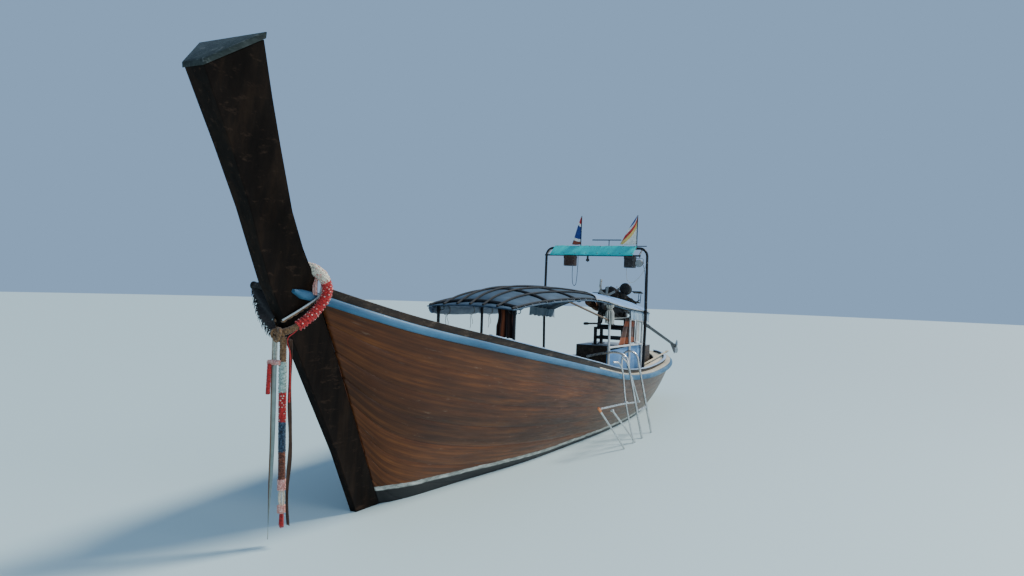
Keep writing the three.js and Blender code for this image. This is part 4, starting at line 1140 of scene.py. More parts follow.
# Each row: name, staff y, top z, shoulder z, low z, widths at the shoulder and the foot, finish, area.
for name, staff, top, shoulder_z, low, shoulder, foot, finish, area in [
        ("starboard", -0.2206, 2.630, 2.430, 2.258, 0.0714, 0.1224, stripes_dark, 0.0245),
        ("port", 0.5524, 2.632, 2.440, 2.262, 0.1264, 0.2224, stripes_bright, 0.0445)]:
    rings = []
    for i in range(49):
        z = top + (low - top) * i / 48
        wide = (between(z, top, shoulder_z, 0.004, shoulder) if z > shoulder_z
                else between(z, shoulder_z, low, shoulder, foot))
        ring = []
        for f in [j / 24 for j in range(25)]:
            fold = 0.007 * f * math.sin(f * 9 + z * 14) * min(1.0, (top - z) / 0.1)
            ring.append(Vector((ARCH_X - 0.0150 + fold, staff - wide * f, z - 0.006 * math.sin(3.1 * f))))
        rings.append(ring)
    pennant = sheet("pennant_" + name, rings, 0.0012)
    fitted(pennant, "hull", "flag_cloth", finish, "flag_" + name)
    bm = bmesh.new()
    for z in (top - 0.015, (top + low) / 2, low + 0.02):
        hoop(bm, (ARCH_X - 0.0155, staff + 0.0056, z), (0.0078, 0, 0), (0, 0.0085, 0), 0.0014, 14, 5)
    ties = fixed("pennant_ties_" + name, bm, "flag_cloth", lace_cord)

# Hung cloths.
# A brown sun cloth and a white one with a red border hang from a cord between the aft posts, and a pale
# one is gathered on the fore white post; all are loose woven cotton.
DEEP = (0.045, 0.016, 0.009)
cotton_brown = banded("cotton_brown", (DEEP, (0.20, 0.045, 0.012), DEEP, (0.060, 0.022, 0.012),
                                       (0.24, 0.060, 0.018)), -0.06, 0.070, -0.02)
cotton_white = banded("cotton_white", [(0.50, 0.050, 0.035)] + [(0.62, 0.60, 0.54)] * 3, -0.10, 0.062, -0.03)
cotton_pale = cloth("cotton_pale", (0.42, 0.42, 0.38), (0.66, 0.66, 0.60), 0.8, 700)
CORD_Y, CORD_Z, CORD_X, CORD_RUN, CORD_SAG, CORD_R = 0.6240, 1.338, -0.186, -1.348, 0.010, 0.0032
COTTON = 0.0014


def on_cord(x):
    """Height of the cord's middle at x."""
    return CORD_Z - CORD_SAG * math.sin(math.pi * (x - CORD_X) / CORD_RUN)


bm = bmesh.new()
tube(bm, [(x, CORD_Y, on_cord(x)) for x in [CORD_X + CORD_RUN * i / 48 for i in range(49)]], CORD_R, 8)
for x in RAIL_POSTS:
    hoop(bm, (x, RAIL_Y, CORD_Z), (0.0170, 0, 0), (0, 0.0172, 0), 0.0030, 20)
fixed("drying_cord", bm, "garland", lace_cord)
# Each row: name, fore x, aft x, how far the foot swings forward, foot z, fold depth, folds in a metre,
# finish, flat width.
for name, x0, x1, swing, foot, deep, folds, finish, flat in [
        ("brown", -0.920, -1.300, 0.24, 1.004, 0.017, 9.5, cotton_brown, 0.53),
        ("white", -1.335, -1.495, 0, 1.012, 0.012, 12.0, cotton_white, 0.21)]:
    rings = []
    for i in range(97):
        x = x0 + (x1 - x0) * i / 96
        top = on_cord(x) + 0.0030
        wave = deep * math.sin(2 * math.pi * folds * (x - x0) + 0.7 * math.sin(x * 23))
        ring = []
        for down in [k / 24 for k in range(25)]:
            hem = 0.008 * math.sin(x * 41) * down
            ring.append(Vector((x + 0.004 * math.sin(9 * down + x * 30) + swing * down * (1 - i / 96),
                                CORD_Y - 0.0045 - 0.006 * down + wave * (0.30 + 0.70 * down),
                                top + (foot + hem - top) * down)))
        rings.append(ring)
    hung = sheet("hung_cloth_" + name, rings, COTTON)
    fitted(hung, "hull", "curtain_cloth", finish)
WAIST_Z, GATHERS, POST_X = 1.440, 10, RAIL_POSTS[0]
rings = []
for down in [i / 40 for i in range(41)]:
    z = 1.492 - 0.212 * down
    waist = math.exp(-((z - WAIST_Z) / 0.020) ** 2)
    wide = (0.040 + 0.016 * down) * (1 - 0.52 * waist)
    ring = []
    for a in [math.radians(-150 + 300 * k / 120) for k in range(121)]:
        fold = 0.45 + 0.36 * math.sin(GATHERS * a + 2.0 * down) * (1 - 0.6 * waist)
        r = 0.0165 + max(0.001, wide * fold)
        ring.append(Vector((POST_X + r * math.sin(a), RAIL_Y + r * math.cos(a) * 0.9,
                            z - 0.010 * math.sin(a * 2.3) * down)))
    rings.append(ring)
gathered = sheet("gathered_cloth", rings, COTTON)
fitted(gathered, "hull", "curtain_cloth", cotton_pale)
bm = bmesh.new()
hoop(bm, (POST_X, RAIL_Y, WAIST_Z), (0.0335, 0, 0), (0, 0.0325, 0), 0.0036, 24)
band = fixed("gathered_cloth_tie", bm, "curtain_cloth", tape)
# The fore cloth hangs from the first hoop, beside the port post.
DUSK, NIGHT = (0.030, 0.012, 0.008), (0.022, 0.009, 0.006)
dark_cotton = banded("cotton_dark", (DUSK, (0.16, 0.045, 0.016), NIGHT, NIGHT, (0.15, 0.040, 0.014), DUSK),
                     0.0, 0.047, -0.01, 0)
rings = []
for i in range(73):
    y = 0.222 + 0.186 * i / 72
    top = roof_over(HOOPS[0], y, 0.0580).z
    foot, fold = 1.190 + 0.007 * math.sin(43 * y), 0.015 * math.sin(2 * math.pi * 15 * y + 0.6)
    ring = []
    for down in [k / 24 for k in range(25)]:
        gather = (y - 0.315) * 0.18 * math.sin(math.pi * min(1.0, down * 1.6))
        ring.append(Vector((HOOPS[0] - 0.004 + fold * (0.35 + 0.65 * down), y - gather,
                            top + (foot - top) * down)))
    rings.append(ring)
fore_cloth = sheet("hung_cloth_fore", rings, COTTON)
fitted(fore_cloth, "hull", "curtain_cloth", dark_cotton)
bm = bmesh.new()
for y in (0.232, 0.290, 0.350, 0.400):
    hoop(bm, roof_over(HOOPS[0], y, 0.0480), (0.014, 0, 0), (0, 0, 0.016), 0.0018, 16)
ties = fixed("fore_cloth_ties", bm, "curtain_cloth", lace_cord)

# Engine platform.
# A boxed timber seat across the aft cockpit, dark outside, with a sheet of tread plate on its top.
platform_wood = wood("platform_timber", (0.012, 0.008, 0.005), (0.032, 0.020, 0.012), (0.075, 0.050, 0.032),
                     0.55, wear=(0.12, 0.09, 0.06))
softened(["engine_platform"], platform_wood, "dark_wood", 0.004, 3)
tread, tree, shader, where = blank("tread_plate", 0.45, metal=0.35)
turned_plate = node(tree, "Mapping", Vector=where["Object"], Scale=(1.0, 2.2, 1.0),
                    Rotation=(0, 0, 0.78)).outputs[0]
lozenges = node(tree, "TexVoronoi", {"feature": "F1"}, Vector=turned_plate, Scale=34.0,
                Randomness=0.0).outputs["Distance"]
grime = noise(tree, where["Object"], 6, (1, 1, 1), 8, 0.7)
coloured(tree, shader, ramp(tree, grime, (0.36, (0.13, 0.15, 0.17)), (0.64, (0.38, 0.43, 0.48))))
bumped(tree, shader, ramp(tree, lozenges, (0.25, 1), (0.45, 0)), 0.6, 0.002)
platform = bpy.data.objects["engine_platform_eased"]
platform.data.materials.append(tread)
PLATFORM_TOP = 0.878
for face in platform.data.polygons:
    if face.normal.z > 0.9 and face.center.z > PLATFORM_TOP:
        face.material_index = 1

# Engine stand and yoke.
# A welded angle-iron trestle bolted to the platform; the yoke turns on its top plate, held by a nut on a
# big washer, and takes the engine's trunnions between two cheeks.
PIN_X, TRUNNION_Z = -2.25, 1.31
FEET_Z, PLATE_Z, YOKE_Z, CHEEK_Y = 0.889, 1.0995, 1.162, 0.205
oily_paint = metal_paint("engine_oily_black", (0.016, 0.016, 0.017), (0.060, 0.036, 0.022), 0.38, 0.60)
softened(["engine_stand"], oily_paint, "engine_metal", 0.003)
softened(["swivel_yoke"], oily_paint, "engine_metal", 0.004, 3, "yoke")
bm = bmesh.new()
for x in (-0.13, 0.13):
    for y in (-0.2, 0.2):
        for dx, dy in ((-0.031, -0.031), (0.031, -0.031), (-0.031, 0.031), (0.031, 0.031)):
            disc(bm, (PIN_X + x + dx, y + dy, FEET_Z), UPWARD, 0.0065, 0.006, 6)
for x in (-0.10, 0.10):
    for y in (-0.17, 0.17):
        disc(bm, (PIN_X + x, y, PLATE_Z), (0, 0, -1), 0.010, 0.008, 6)
fixed("stand_bolts", bm, "steel_tube", bolt_metal)
bm = bmesh.new()
disc(bm, (PIN_X, 0, YOKE_Z), UPWARD, 0.046, 0.008, 28, 0.002)
disc(bm, (PIN_X, 0, YOKE_Z + 0.008), UPWARD, 0.026, 0.018, 6, 0.003)
for side in (-1, 1):
    disc(bm, (PIN_X, side * CHEEK_Y, TRUNNION_Z), (0, side, 0), 0.034, 0.010, 28, 0.002)
    disc(bm, (PIN_X, side * (CHEEK_Y + 0.010), TRUNNION_Z), (0, side, 0), 0.015, 0.008, 6, 0.002)
    for dx in (-0.026, 0.026):
        for z in (1.19, 1.22):
            disc(bm, (PIN_X + dx, side * CHEEK_Y, z), (0, side, 0), 0.0075, 0.006, 6)
fitted(placed("yoke_fixings", bm), "yoke", "steel_tube", bolt_metal)

# Engine.
# A four-cylinder car engine in oily black paint, open to the weather: ribbed sump and block, head with its
# rocker cover, manifolds, alternator, belt and fan at the front, and a bell housing for the long shaft.
# It is laid out level at the trunnion and then turned down by the angle that it is left at.
TAIL_DOWN = math.radians(12.7)
LAY = (Matrix.Translation((PIN_X, 0, TRUNNION_Z)) @ Matrix.Rotation(-TAIL_DOWN, 4, "Y")
       @ Matrix.Translation((-PIN_X, 0, -TRUNNION_Z)))
SHAFT_Z = TRUNNION_Z + 0.19
BLOCK_Z, HEAD_Z, COVER_Z = 1.410, 1.554, 1.618  # tops of the sump's, the block's and the head's flanges


def laid(name, bm, finish, slot="engine_metal", body="engine", stands_for=()):
    """A part of the engine, turned down with it."""
    bmesh.ops.transform(bm, matrix=LAY, verts=bm.verts)
    return fitted(placed(name, bm), body, slot, finish, *stands_for)


def at(x, y, z):
    return Vector((PIN_X + x, y, z))


def block(bm, x0, x1, y0, y1, z0, z1, ease=0.006, steps=3):
    plank_block(bm, at(x0, y0, z0), at(x1, y1, z1), ease, steps)


def ribs(bm, xs, width, y0, y1, z0, z1, ease):
    """Upright ribs on both sides."""
    for x in xs:
        block(bm, x, x + width, -y1, -y0, z0, z1, ease, 2)
        block(bm, x, x + width, y0, y1, z0, z1, ease, 2)


def bolts(bm, xs, y, z, radius, height):
    """Rows of bolt heads on both sides."""
    for x in xs:
        for side in (-1, 1):
            disc(bm, at(x, side * y, z), UPWARD, radius, height, 6)


def spun(bm, profile, y, z, sides):
    """A round body with its axis along the boat; profile gives (x, radius)."""
    tube(bm, [at(x, y, z) for x, r in profile], [r for x, r in profile], sides)


def row(start, step, count):
    return [start + step * k for k in range(count)]


cast_iron = metal_paint("cast_iron_dark", (0.030, 0.029, 0.028), (0.10, 0.060, 0.038), 0.55, 0.57, 0.3)
bm = bmesh.new()
block(bm, -0.245, 0.305, -0.115, 0.115, 1.272, 1.402, 0.020, 4)
block(bm, -0.250, 0.310, -0.132, 0.132, 1.400, BLOCK_Z, 0.003, 2)
ribs(bm, row(-0.215, 0.058, 9), 0.010, 0.108, 0.121, 1.290, 1.392, 0.003)
bolts(bm, row(-0.232, 0.052, 11), 0.124, BLOCK_Z - 0.0005, 0.0055, 0.005)
disc(bm, at(0.10, 0, 1.273), (0, 0, -1), 0.016, 0.010, 6, 0.002)
laid("engine_sump", bm, oily_paint)
bm = bmesh.new()
block(bm, -0.248, 0.288, -0.142, 0.142, 1.408, 1.548, 0.010, 4)
ribs(bm, row(-0.215, 0.110, 5), 0.012, 0.135, 0.150, 1.415, 1.540, 0.004)
for x in row(-0.154, 0.110, 4):
    for side in (-1, 1):
        disc(bm, at(x, side * 0.140, 1.452), (0, side, 0), 0.021, 0.006, 24, 0.002)
        disc(bm, at(x, side * 0.144, 1.452), (0, side, 0), 0.014, 0.003, 24)
block(bm, -0.250, 0.290, -0.150, 0.150, 1.540, HEAD_Z, 0.004, 2)
tube(bm, [at(0, -0.1786, TRUNNION_Z), at(0, 0.1786, TRUNNION_Z)], 0.018, 24)
for y0, y1 in ((-0.168, -0.112), (0.112, 0.168)):
    block(bm, -0.060, 0.060, y0, y1, 1.284, 1.336, 0.008)
laid("engine_block_cast", bm, cast_iron, stands_for=("engine_block",))
bm = bmesh.new()
block(bm, -0.230, 0.270, -0.108, 0.108, 1.552, 1.612)
block(bm, -0.215, 0.255, -0.078, 0.078, 1.610, COVER_Z, 0.003, 2)
block(bm, -0.205, 0.245, -0.068, 0.068, 1.616, 1.660, 0.016, 5)
for y in row(-0.044, 0.034, 3):
    block(bm, -0.180, 0.220, y, y + 0.014, 1.654, 1.664, 0.004, 2)
bolts(bm, row(-0.200, 0.073, 7), 0.0735, COVER_Z - 0.0005, 0.0055, 0.006)
bolts(bm, row(-0.205, 0.110, 5), 0.095, 1.611, 0.0085, 0.010)
disc(bm, at(0.170, 0, 1.660), UPWARD, 0.030, 0.016, 28, 0.004)
block(bm, 0.145, 0.195, -0.005, 0.005, 1.674, 1.684, 0.003, 2)
laid("engine_head", bm, oily_paint)

# Manifolds, muffler and the short upright exhaust.
dull_plate = metal_paint("dulled_plating", (0.55, 0.55, 0.52), (0.24, 0.15, 0.09), 0.32, 0.58, 0.75)
rusty = metal_paint("manifold_rusty", (0.085, 0.042, 0.024), (0.17, 0.085, 0.045), 0.75, 0.48, 0.2)
bm = bmesh.new()
for x in row(-0.185, 0.115, 4):
    tube(bm, smooth([at(x, -0.106, 1.588), at(x, -0.128, 1.588), at(x + 0.012, -0.148, 1.570),
                     at(x + 0.030, -0.152, 1.548)], 8), 0.017, 14)
    block(bm, x - 0.026, x + 0.026, -0.116, -0.108, 1.566, 1.610, 0.003, 2)
tube(bm, [at(-0.20, -0.156, 1.536), at(0.19, -0.156, 1.536)], 0.024, 18)
laid("exhaust_manifold", bm, rusty)
bm = bmesh.new()
upright = [at(0.150, -0.1104, 1.610), at(0.150, -0.138, 1.610), at(0.170, -0.156, 1.645),
           at(0.185, -0.160, 1.680), at(0.196, -0.156, 1.725), at(0.205, -0.150, 1.772)]
tube(bm, smooth(upright, 24), 0.0175, 20)
tube(bm, [through(upright, 0.985) - Vector((0, 0, 0.004)), through(upright, 1.0)], 0.0195, 20)
for f in (0.22, 0.56):
    tube(bm, [through(upright, f), through(upright, f + 0.03)], 0.0215, 20)
laid("exhaust_upright", bm, dull_plate, "bright_pipe", stands_for=("exhaust",))
bm = bmesh.new()
FILTER_Y, FILTER_Z = 0.255, 1.490
block(bm, -0.198, 0.218, 0.148, 0.224, 1.502, 1.578, 0.012, 4)
for x in row(-0.165, 0.110, 4):
    tube(bm, smooth([at(x, 0.104, 1.586), at(x, 0.126, 1.590), at(x, 0.146, 1.580), at(x, 0.160, 1.560)], 8),
         0.019, 14)
spun(bm, [(-0.130, 0.030), (-0.126, 0.044), (-0.105, 0.054), (0.095, 0.054), (0.116, 0.044), (0.120, 0.030)],
     FILTER_Y, FILTER_Z, 28)
for x in (-0.07, 0.06):
    hoop(bm, at(x, FILTER_Y, FILTER_Z), (0, 0.056, 0), (0, 0, 0.056), 0.0032)
laid("intake_and_filter", bm, cast_iron)

# Muffler drum on the starboard side, strapped to the manifold.
MUFFLER_Y, MUFFLER_Z, STRAP_R = -0.292, 1.432, 0.0530
bm = bmesh.new()
spun(bm, [(-0.170, 0.020), (-0.172, 0.046), (-0.160, 0.052), (-0.150, 0.0535), (-0.148, 0.0505),
          (0.232, 0.0505), (0.234, 0.0535), (0.244, 0.052), (0.256, 0.046), (0.258, 0.020)], MUFFLER_Y,
     MUFFLER_Z, 32)
for x in (-0.06, 0.13):
    hoop(bm, at(x, MUFFLER_Y, MUFFLER_Z), (0, STRAP_R, 0), (0, 0, STRAP_R), 0.0040)
    block(bm, x - 0.012, x + 0.012, -0.262, -0.158, 1.462, 1.470, 0.002, 2)
inlet = [at(-0.150, -0.160, 1.530), at(-0.190, -0.190, 1.520), at(-0.214, -0.246, 1.480),
         at(-0.206, -0.290, 1.440), at(-0.168, MUFFLER_Y, MUFFLER_Z)]
tube(bm, smooth(inlet, 30), 0.0180, 16)
laid("muffler_drum", bm, rusty)

# Air cleaner: a round canister with clamp bands, a wing nut and a grey elbow pipe.
CLEANER_Y, CLEANER_Z = 0.200, 1.58035 + 0.080 * math.cos(math.pi / 16)
bm = bmesh.new()
spun(bm, [(0.070, 0.030), (0.072, 0.066), (0.078, 0.076), (0.096, 0.078), (0.098, 0.0795), (0.104, 0.0795),
          (0.106, 0.077), (0.154, 0.077), (0.156, 0.0795), (0.162, 0.0795), (0.164, 0.078), (0.180, 0.075),
          (0.188, 0.062), (0.190, 0.020)], CLEANER_Y, CLEANER_Z, 36)
disc(bm, at(0.190, CLEANER_Y, CLEANER_Z), FORWARD, 0.012, 0.008, 16, 0.002)
block(bm, 0.196, 0.202, 0.178, 0.222, CLEANER_Z - 0.005, CLEANER_Z + 0.005, 0.002, 2)
laid("air_cleaner_canister", bm, oily_paint, "black_pipe", stands_for=("air_cleaner",))
grey_pipe = metal_paint("elbow_grey", (0.20, 0.21, 0.21), (0.36, 0.36, 0.34), 0.5, 0.62, 0.1)
bm = bmesh.new()
# Each row: x, y and height over the canister's middle.
elbow = [at(x, y, CLEANER_Z + up) for x, y, up in (
    (0.072, 0.200, 0.020), (0.045, 0.196, 0.034), (0.010, 0.165, 0.060), (-0.020, 0.110, 0.064),
    (-0.040, 0.050, 0.040), (-0.045, 0.010, 0.006))]
tube(bm, smooth(elbow, 36), [0.0195 + 0.0018 * (i % 2) * (6 < i < 30) for i in range(37)], 18)
laid("intake_elbow", bm, grey_pipe, "lamp_metal")

# Alternator, belt, pulleys and fan at the front; oil filter and steel fuel pipes at the sides.
# Each pulley: y, z and radius; the crank's, the fan's and the alternator's.
PULLEYS = [(0.0, 1.372, 0.062), (0.0, 1.505, 0.046), (-0.205, 1.515, 0.036)]
(CRANK_Y, CRANK_Z, _), (FAN_Y, FAN_Z, _), (ALTERNATOR_Y, ALTERNATOR_Z, _) = PULLEYS
bm = bmesh.new()
spun(bm, [(0.030, 0.020), (0.032, 0.050), (0.042, 0.060), (0.080, 0.0615), (0.082, 0.056), (0.094, 0.056),
          (0.096, 0.0615), (0.140, 0.0615), (0.150, 0.056), (0.168, 0.048), (0.170, 0.018), (0.190, 0.018)],
     ALTERNATOR_Y, ALTERNATOR_Z, 32)
for a in turn(12)[:-1]:
    p = at(0.100, ALTERNATOR_Y + 0.059 * math.cos(a), ALTERNATOR_Z + 0.059 * math.sin(a))
    tube(bm, [p, p + Vector((0.036, 0, 0))], 0.0032, 6)
tube(bm, [at(0.06, -0.150, 1.545), at(0.06, -0.170, 1.560), at(0.06, ALTERNATOR_Y, 1.572)], 0.010, 10)
laid("alternator", bm, metal_paint("alternator_alloy", (0.20, 0.20, 0.195), (0.06, 0.05, 0.04), 0.5, 0.55,
                                   0.6))
bm = bmesh.new()
for y, z, r in PULLEYS:
    spun(bm, [(0.285, 0.020), (0.306, r), (0.309, r), (0.316, r * 0.82), (0.323, r), (0.326, r),
              (0.330, 0.016)],
         y, z, 32)
tube(bm, [at(0.170, ALTERNATOR_Y, ALTERNATOR_Z), at(0.300, ALTERNATOR_Y, ALTERNATOR_Z)], 0.010, 12)
disc(bm, at(0.328, CRANK_Y, CRANK_Z), FORWARD, 0.018, 0.010, 6, 0.002)
laid("pulleys", bm, metal_paint("pulley_steel", (0.16, 0.15, 0.14), (0.16, 0.08, 0.045), 0.4, 0.55, 0.8))
bm = bmesh.new()
BLADE_PLACE = (Matrix.Translation((0, 0, 0.082)) @ Matrix.Rotation(math.radians(62), 4, "Z")
               @ Matrix.Rotation(math.radians(90), 4, "X") @ Matrix.Diagonal((0.046, 0.105, 1, 1)))
for k in range(6):
    hub = Matrix.Translation(at(0.342, FAN_Y, FAN_Z)) @ Matrix.Rotation(math.radians(60 * k), 4, "X")
    made = bmesh.ops.create_grid(bm, x_segments=3, y_segments=5, size=0.5, matrix=hub @ BLADE_PLACE)["verts"]
    for v in made:
        v.co.x = min(v.co.x, PIN_X + 0.372)
bmesh.ops.solidify(bm, geom=bm.faces[:], thickness=0.002)
disc(bm, at(0.330, FAN_Y, FAN_Z), FORWARD, 0.034, 0.016, 24, 0.003)
for a in turn(4)[:-1]:
    disc(bm, at(0.346, FAN_Y + 0.022 * math.cos(a), FAN_Z + 0.022 * math.sin(a)), FORWARD, 0.005, 0.004, 6)
laid("cooling_fan", bm, rubber("fan_plastic", (0.30, 0.30, 0.28), 0.5))
bm = bmesh.new()
corners = []
for (y, z, r), (a0, a1) in zip(PULLEYS, ((-120, 20), (15, 80), (80, 235))):
    for a in [math.radians(a0 + (a1 - a0) * k / 8) for k in range(9)]:
        corners.append(at(0.316, y + (r + 0.001) * math.cos(a), z + (r + 0.001) * math.sin(a)))
tube(bm, corners + [corners[0]], 0.0052, 8)
laid("drive_belt", bm, dark_shell)
bm = bmesh.new()
tube(bm, [at(-0.06, y, 1.470) for y in (-0.140, -0.150, -0.152, -0.158, -0.232, -0.240, -0.243)],
     [0.028, 0.028, 0.040, 0.041, 0.041, 0.036, 0.020], 28)
laid("oil_filter", bm, painted("filter_paint", (0.30, 0.05, 0.02), (0.38, 0.10, 0.05), (0.10, 0.08, 0.07),
                               0.35, 0.68))
bm = bmesh.new()
for k, x in enumerate(row(-0.150, 0.105, 4)):
    line = [at(x, 0.060, 1.640), at(x, 0.084, 1.668 + 0.006 * k), at(x + 0.006, 0.116, 1.650),
            at(x + 0.010, 0.134, 1.600), at(0.02 + 0.03 * k, 0.160, 1.588), at(0.03 + 0.03 * k, 0.170, 1.582)]
    tube(bm, smooth(line, 24), 0.0032, 8)
    disc(bm, at(x, 0.060, 1.632), UPWARD, 0.008, 0.014, 6)
line = [at(-0.06, -0.130, 1.520), at(-0.10, -0.175, 1.545), at(-0.16, -0.180, 1.500),
        at(-0.20, -0.160, 1.440), at(-0.22, -0.128, 1.420)]
tube(bm, smooth(line, 24), 0.0045, 8)
laid("fuel_pipes", bm, dull_plate, "bright_pipe")
bm = bmesh.new()
block(bm, -0.075, 0.055, 0.262, 0.402, 1.644, 1.650, 0.002, 2)
for x in (-0.060, 0.040):
    block(bm, x - 0.004, x + 0.004, 0.366, 0.374, 1.506, 1.646, 0.001, 2)
block(bm, -0.064, 0.044, 0.284, 0.374, 1.500, 1.508, 0.002, 2)
tube(bm, [at(-0.06, 0.374, 1.560), at(-0.06, 0.300, 1.510)], 0.006, 8)
laid("side_bracket", bm, oily_paint)

# Bell housing and the long tail.
# The housing is bolted behind the block; the propeller shaft runs in a plain steel tube with welded
# collars, and a plate fin under its end keeps the boat steady.
TAIL_END, FLANGE_X = -3.9, -0.258
bm = bmesh.new()
spun(bm, [(-0.240, 0.118), (-0.242, 0.128), (-0.256, 0.128), (FLANGE_X, 0.116), (-0.330, 0.098),
          (-0.372, 0.070), (-0.410, 0.058), (-0.412, 0.064), (-0.421, 0.064)], 0, SHAFT_Z, 40)
for a in turn(12)[:-1]:
    disc(bm, at(FLANGE_X, 0.122 * math.cos(a), SHAFT_Z + 0.122 * math.sin(a)), (-1, 0, 0), 0.0065, 0.006, 6)
for a in [math.pi / 8 + 2 * math.pi * k / 8 for k in range(8)]:
    tube(bm, [at(x, r * math.cos(a), SHAFT_Z + r * math.sin(a)) for x, r in (
        (FLANGE_X, 0.112), (-0.330, 0.095), (-0.395, 0.058))], 0.005, 8)
laid("bell_housing", bm, cast_iron)
bm = bmesh.new()
spun(bm, [(-0.421, 0.0335), (-0.440, 0.0335), (-0.442, 0.042), (-0.470, 0.042), (-0.472, 0.0325),
          (-0.700, 0.027), (-0.704, 0.031), (-0.724, 0.031), (-0.728, 0.0268), (-1.90, 0.0256),
          (-1.904, 0.0295), (-1.93, 0.0295), (-1.934, 0.0256), (-3.800, 0.0241), (-3.804, 0.0292),
          (-3.885, 0.0292), (-3.890, 0.0262), (TAIL_END, 0.0240)], 0, SHAFT_Z, 28)
for x in (-1.912, -3.845):
    disc(bm, at(x, 0, SHAFT_Z + 0.028), UPWARD, 0.005, 0.012, 6, 0.002)
laid("tail_pipe", bm, pipe_black, "black_pipe", stands_for=("tail_tube",))
FIN = [(0.420, -0.022), (0.034, -0.022), (0.031, -0.146), (0.038, -0.150), (0.068, -0.150), (0.100, -0.134)]
plate = skin("tail_fin_plate", [[LAY @ at(TAIL_END + x, y, SHAFT_Z + z) for x, z in FIN]
                                for y in (-0.0045, 0.0045)])
eased(plate, 0.002, 2)
fitted(plate, "engine", "black_pipe", pipe_black)
bm = bmesh.new()
handle = [at(0.250, -0.060, 1.2696), at(0.250, -0.060, 1.180), at(0.262, -0.060, 1.146),
          at(0.300, -0.060, 1.124), at(0.640, -0.0455, 1.055), at(1.000, -0.030, 0.985)]
tube(bm, smooth(handle, 60), 0.0125, 16)
disc(bm, at(0.250, -0.060, 1.2690), (0, 0, -1), 0.026, 0.008, 20, 0.002)
laid("tiller_bar", bm, pipe_black, "black_pipe", stands_for=("tiller",))
bm = bmesh.new()
grip_a, grip_b = at(0.862, -0.0360, 1.0115), at(0.998, -0.0301, 0.9855)
tube(bm, [grip_a.lerp(grip_b, i / 34) for i in range(35)], [0.0165 + 0.0016 * (i % 2) for i in range(35)], 18)
laid("tiller_grip", bm, dark_shell)

# Propeller.
# Two cast blades on a tapered hub, held by a cone nut; polished by the sand it works in.
cast_alloy = metal_paint("propeller_alloy", (0.52, 0.54, 0.54), (0.30, 0.29, 0.27), 0.35, 0.58, 0.85)
bm = bmesh.new()
spun(bm, [(TAIL_END + x, r) for x, r in (
    (-0.00035, 0.0255), (-0.006, 0.0262), (-0.060, 0.0245), (-0.084, 0.0215), (-0.086, 0.017),
    (-0.098, 0.015), (-0.110, 0.006))], 0, SHAFT_Z, 28)
laid("propeller_hub", bm, cast_alloy, "propeller_metal", "screw", ("propeller",))
# Each row: distance from the shaft, half width, lean in degrees.
BLADE = [(0.010, 0.026, 60), (0.045, 0.044, 45), (0.090, 0.052, 32), (0.118, 0.040, 26), (0.1255, 0.012, 25)]
BLADE_X = TAIL_END - 0.054
for number in range(2):
    facing = Matrix.Rotation(math.pi * number, 4, "X")
    rings = []
    for r, wide, lean in smooth(BLADE, 20):
        c, s = math.cos(math.radians(lean)), math.sin(math.radians(lean))
        ring = []
        for a in turn(16)[:-1]:
            u, h = wide * math.cos(a), (0.0042 - 0.024 * r) * math.sin(a) + 0.03 * wide * math.cos(a) ** 2
            ring.append(LAY @ (at(BLADE_X, 0, SHAFT_Z) + facing @ Vector((u * c - h * s, u * s + h * c, r))))
        rings.append(ring)
    fitted(skin(f"propeller_blade_{number}", rings), "screw", "propeller_metal", cast_alloy)

# Boarding ladder.
# Bright steel tube, hooked over the port side deck: two bent rails, three rungs with black rubber treads,
# and a second frame of thinner tube that folds out forward, pinned to the rails.
stainless = metal_paint("ladder_stainless", (0.62, 0.63, 0.62), (0.36, 0.33, 0.29), 0.24, 0.66, 0.9)
RAILS = [
    [(-0.145, 0.400, 0.890), (-0.160, 0.600, 0.940), (-0.168, 0.780, 0.955), (-0.172, 0.870, 0.900),
     (-0.180, 0.895, 0.800), (-0.250, 0.985, 0.300), (-0.350, 1.115, -0.400), (-0.360, 1.130, -0.470)],
    [(-0.560, 0.694, 0.660), (-0.560, 0.697, 0.880), (-0.560, 0.735, 0.935), (-0.560, 0.800, 0.950),
     (-0.562, 0.870, 0.900), (-0.570, 0.895, 0.800), (-0.640, 0.985, 0.300), (-0.740, 1.115, -0.400),
     (-0.750, 1.130, -0.470)]]
RUNGS, RAIL_GAP = (0.310, -0.080, -0.440), 0.390


def rung_at(z):
    """Where the fore rail is at a height."""
    return -0.18 - (0.8 - z) * 0.17 / 1.2, 0.895 + (0.8 - z) * 0.22 / 1.2, z


tubes, collars, treads = bmesh.new(), bmesh.new(), bmesh.new()
for rail in RAILS:
    tube(tubes, smooth(rail, 90), 0.0127, 18)
    end = Vector(rail[-1])
    toe = (end - Vector(rail[-2])).normalized()
    tube(tubes, [end - toe * 0.030, end - toe * 0.001], 0.0129, 18)
for number, (x, y, z) in enumerate(rung_at(height) for height in RUNGS):
    tube(tubes, [(x, y, z), (x - RAIL_GAP, y, z)], 0.0118, 16)
    for a, b in ((-0.012, -0.020), (-0.370, -0.378)):
        tube(collars, [(x + a, y, z), (x + b, y, z)], 0.0148, 16)
    if number:
        plank_block(treads, (x - 0.366, y - 0.034, z + 0.010), (x - 0.024, y + 0.018, z + 0.020), 0.004, 3)
        for k in range(9):
            left = x - 0.352 + 0.037 * k
            plank_block(treads, (left, y - 0.030, z + 0.019), (left + 0.018, y + 0.014, z + 0.0235), 0.001, 1)
fixed("ladder_tubes", tubes, "steel_tube", stainless, "ladder")
fixed("ladder_collars", collars, "steel_tube", stainless)
fixed("ladder_treads", treads, "steel_tube", dark_shell)
PINS = [(0.078, 0.950, 0.445), (-0.375, 0.962, 0.400), (-0.320, 1.080, -0.215), (0.560, 0.958, 0.424)]
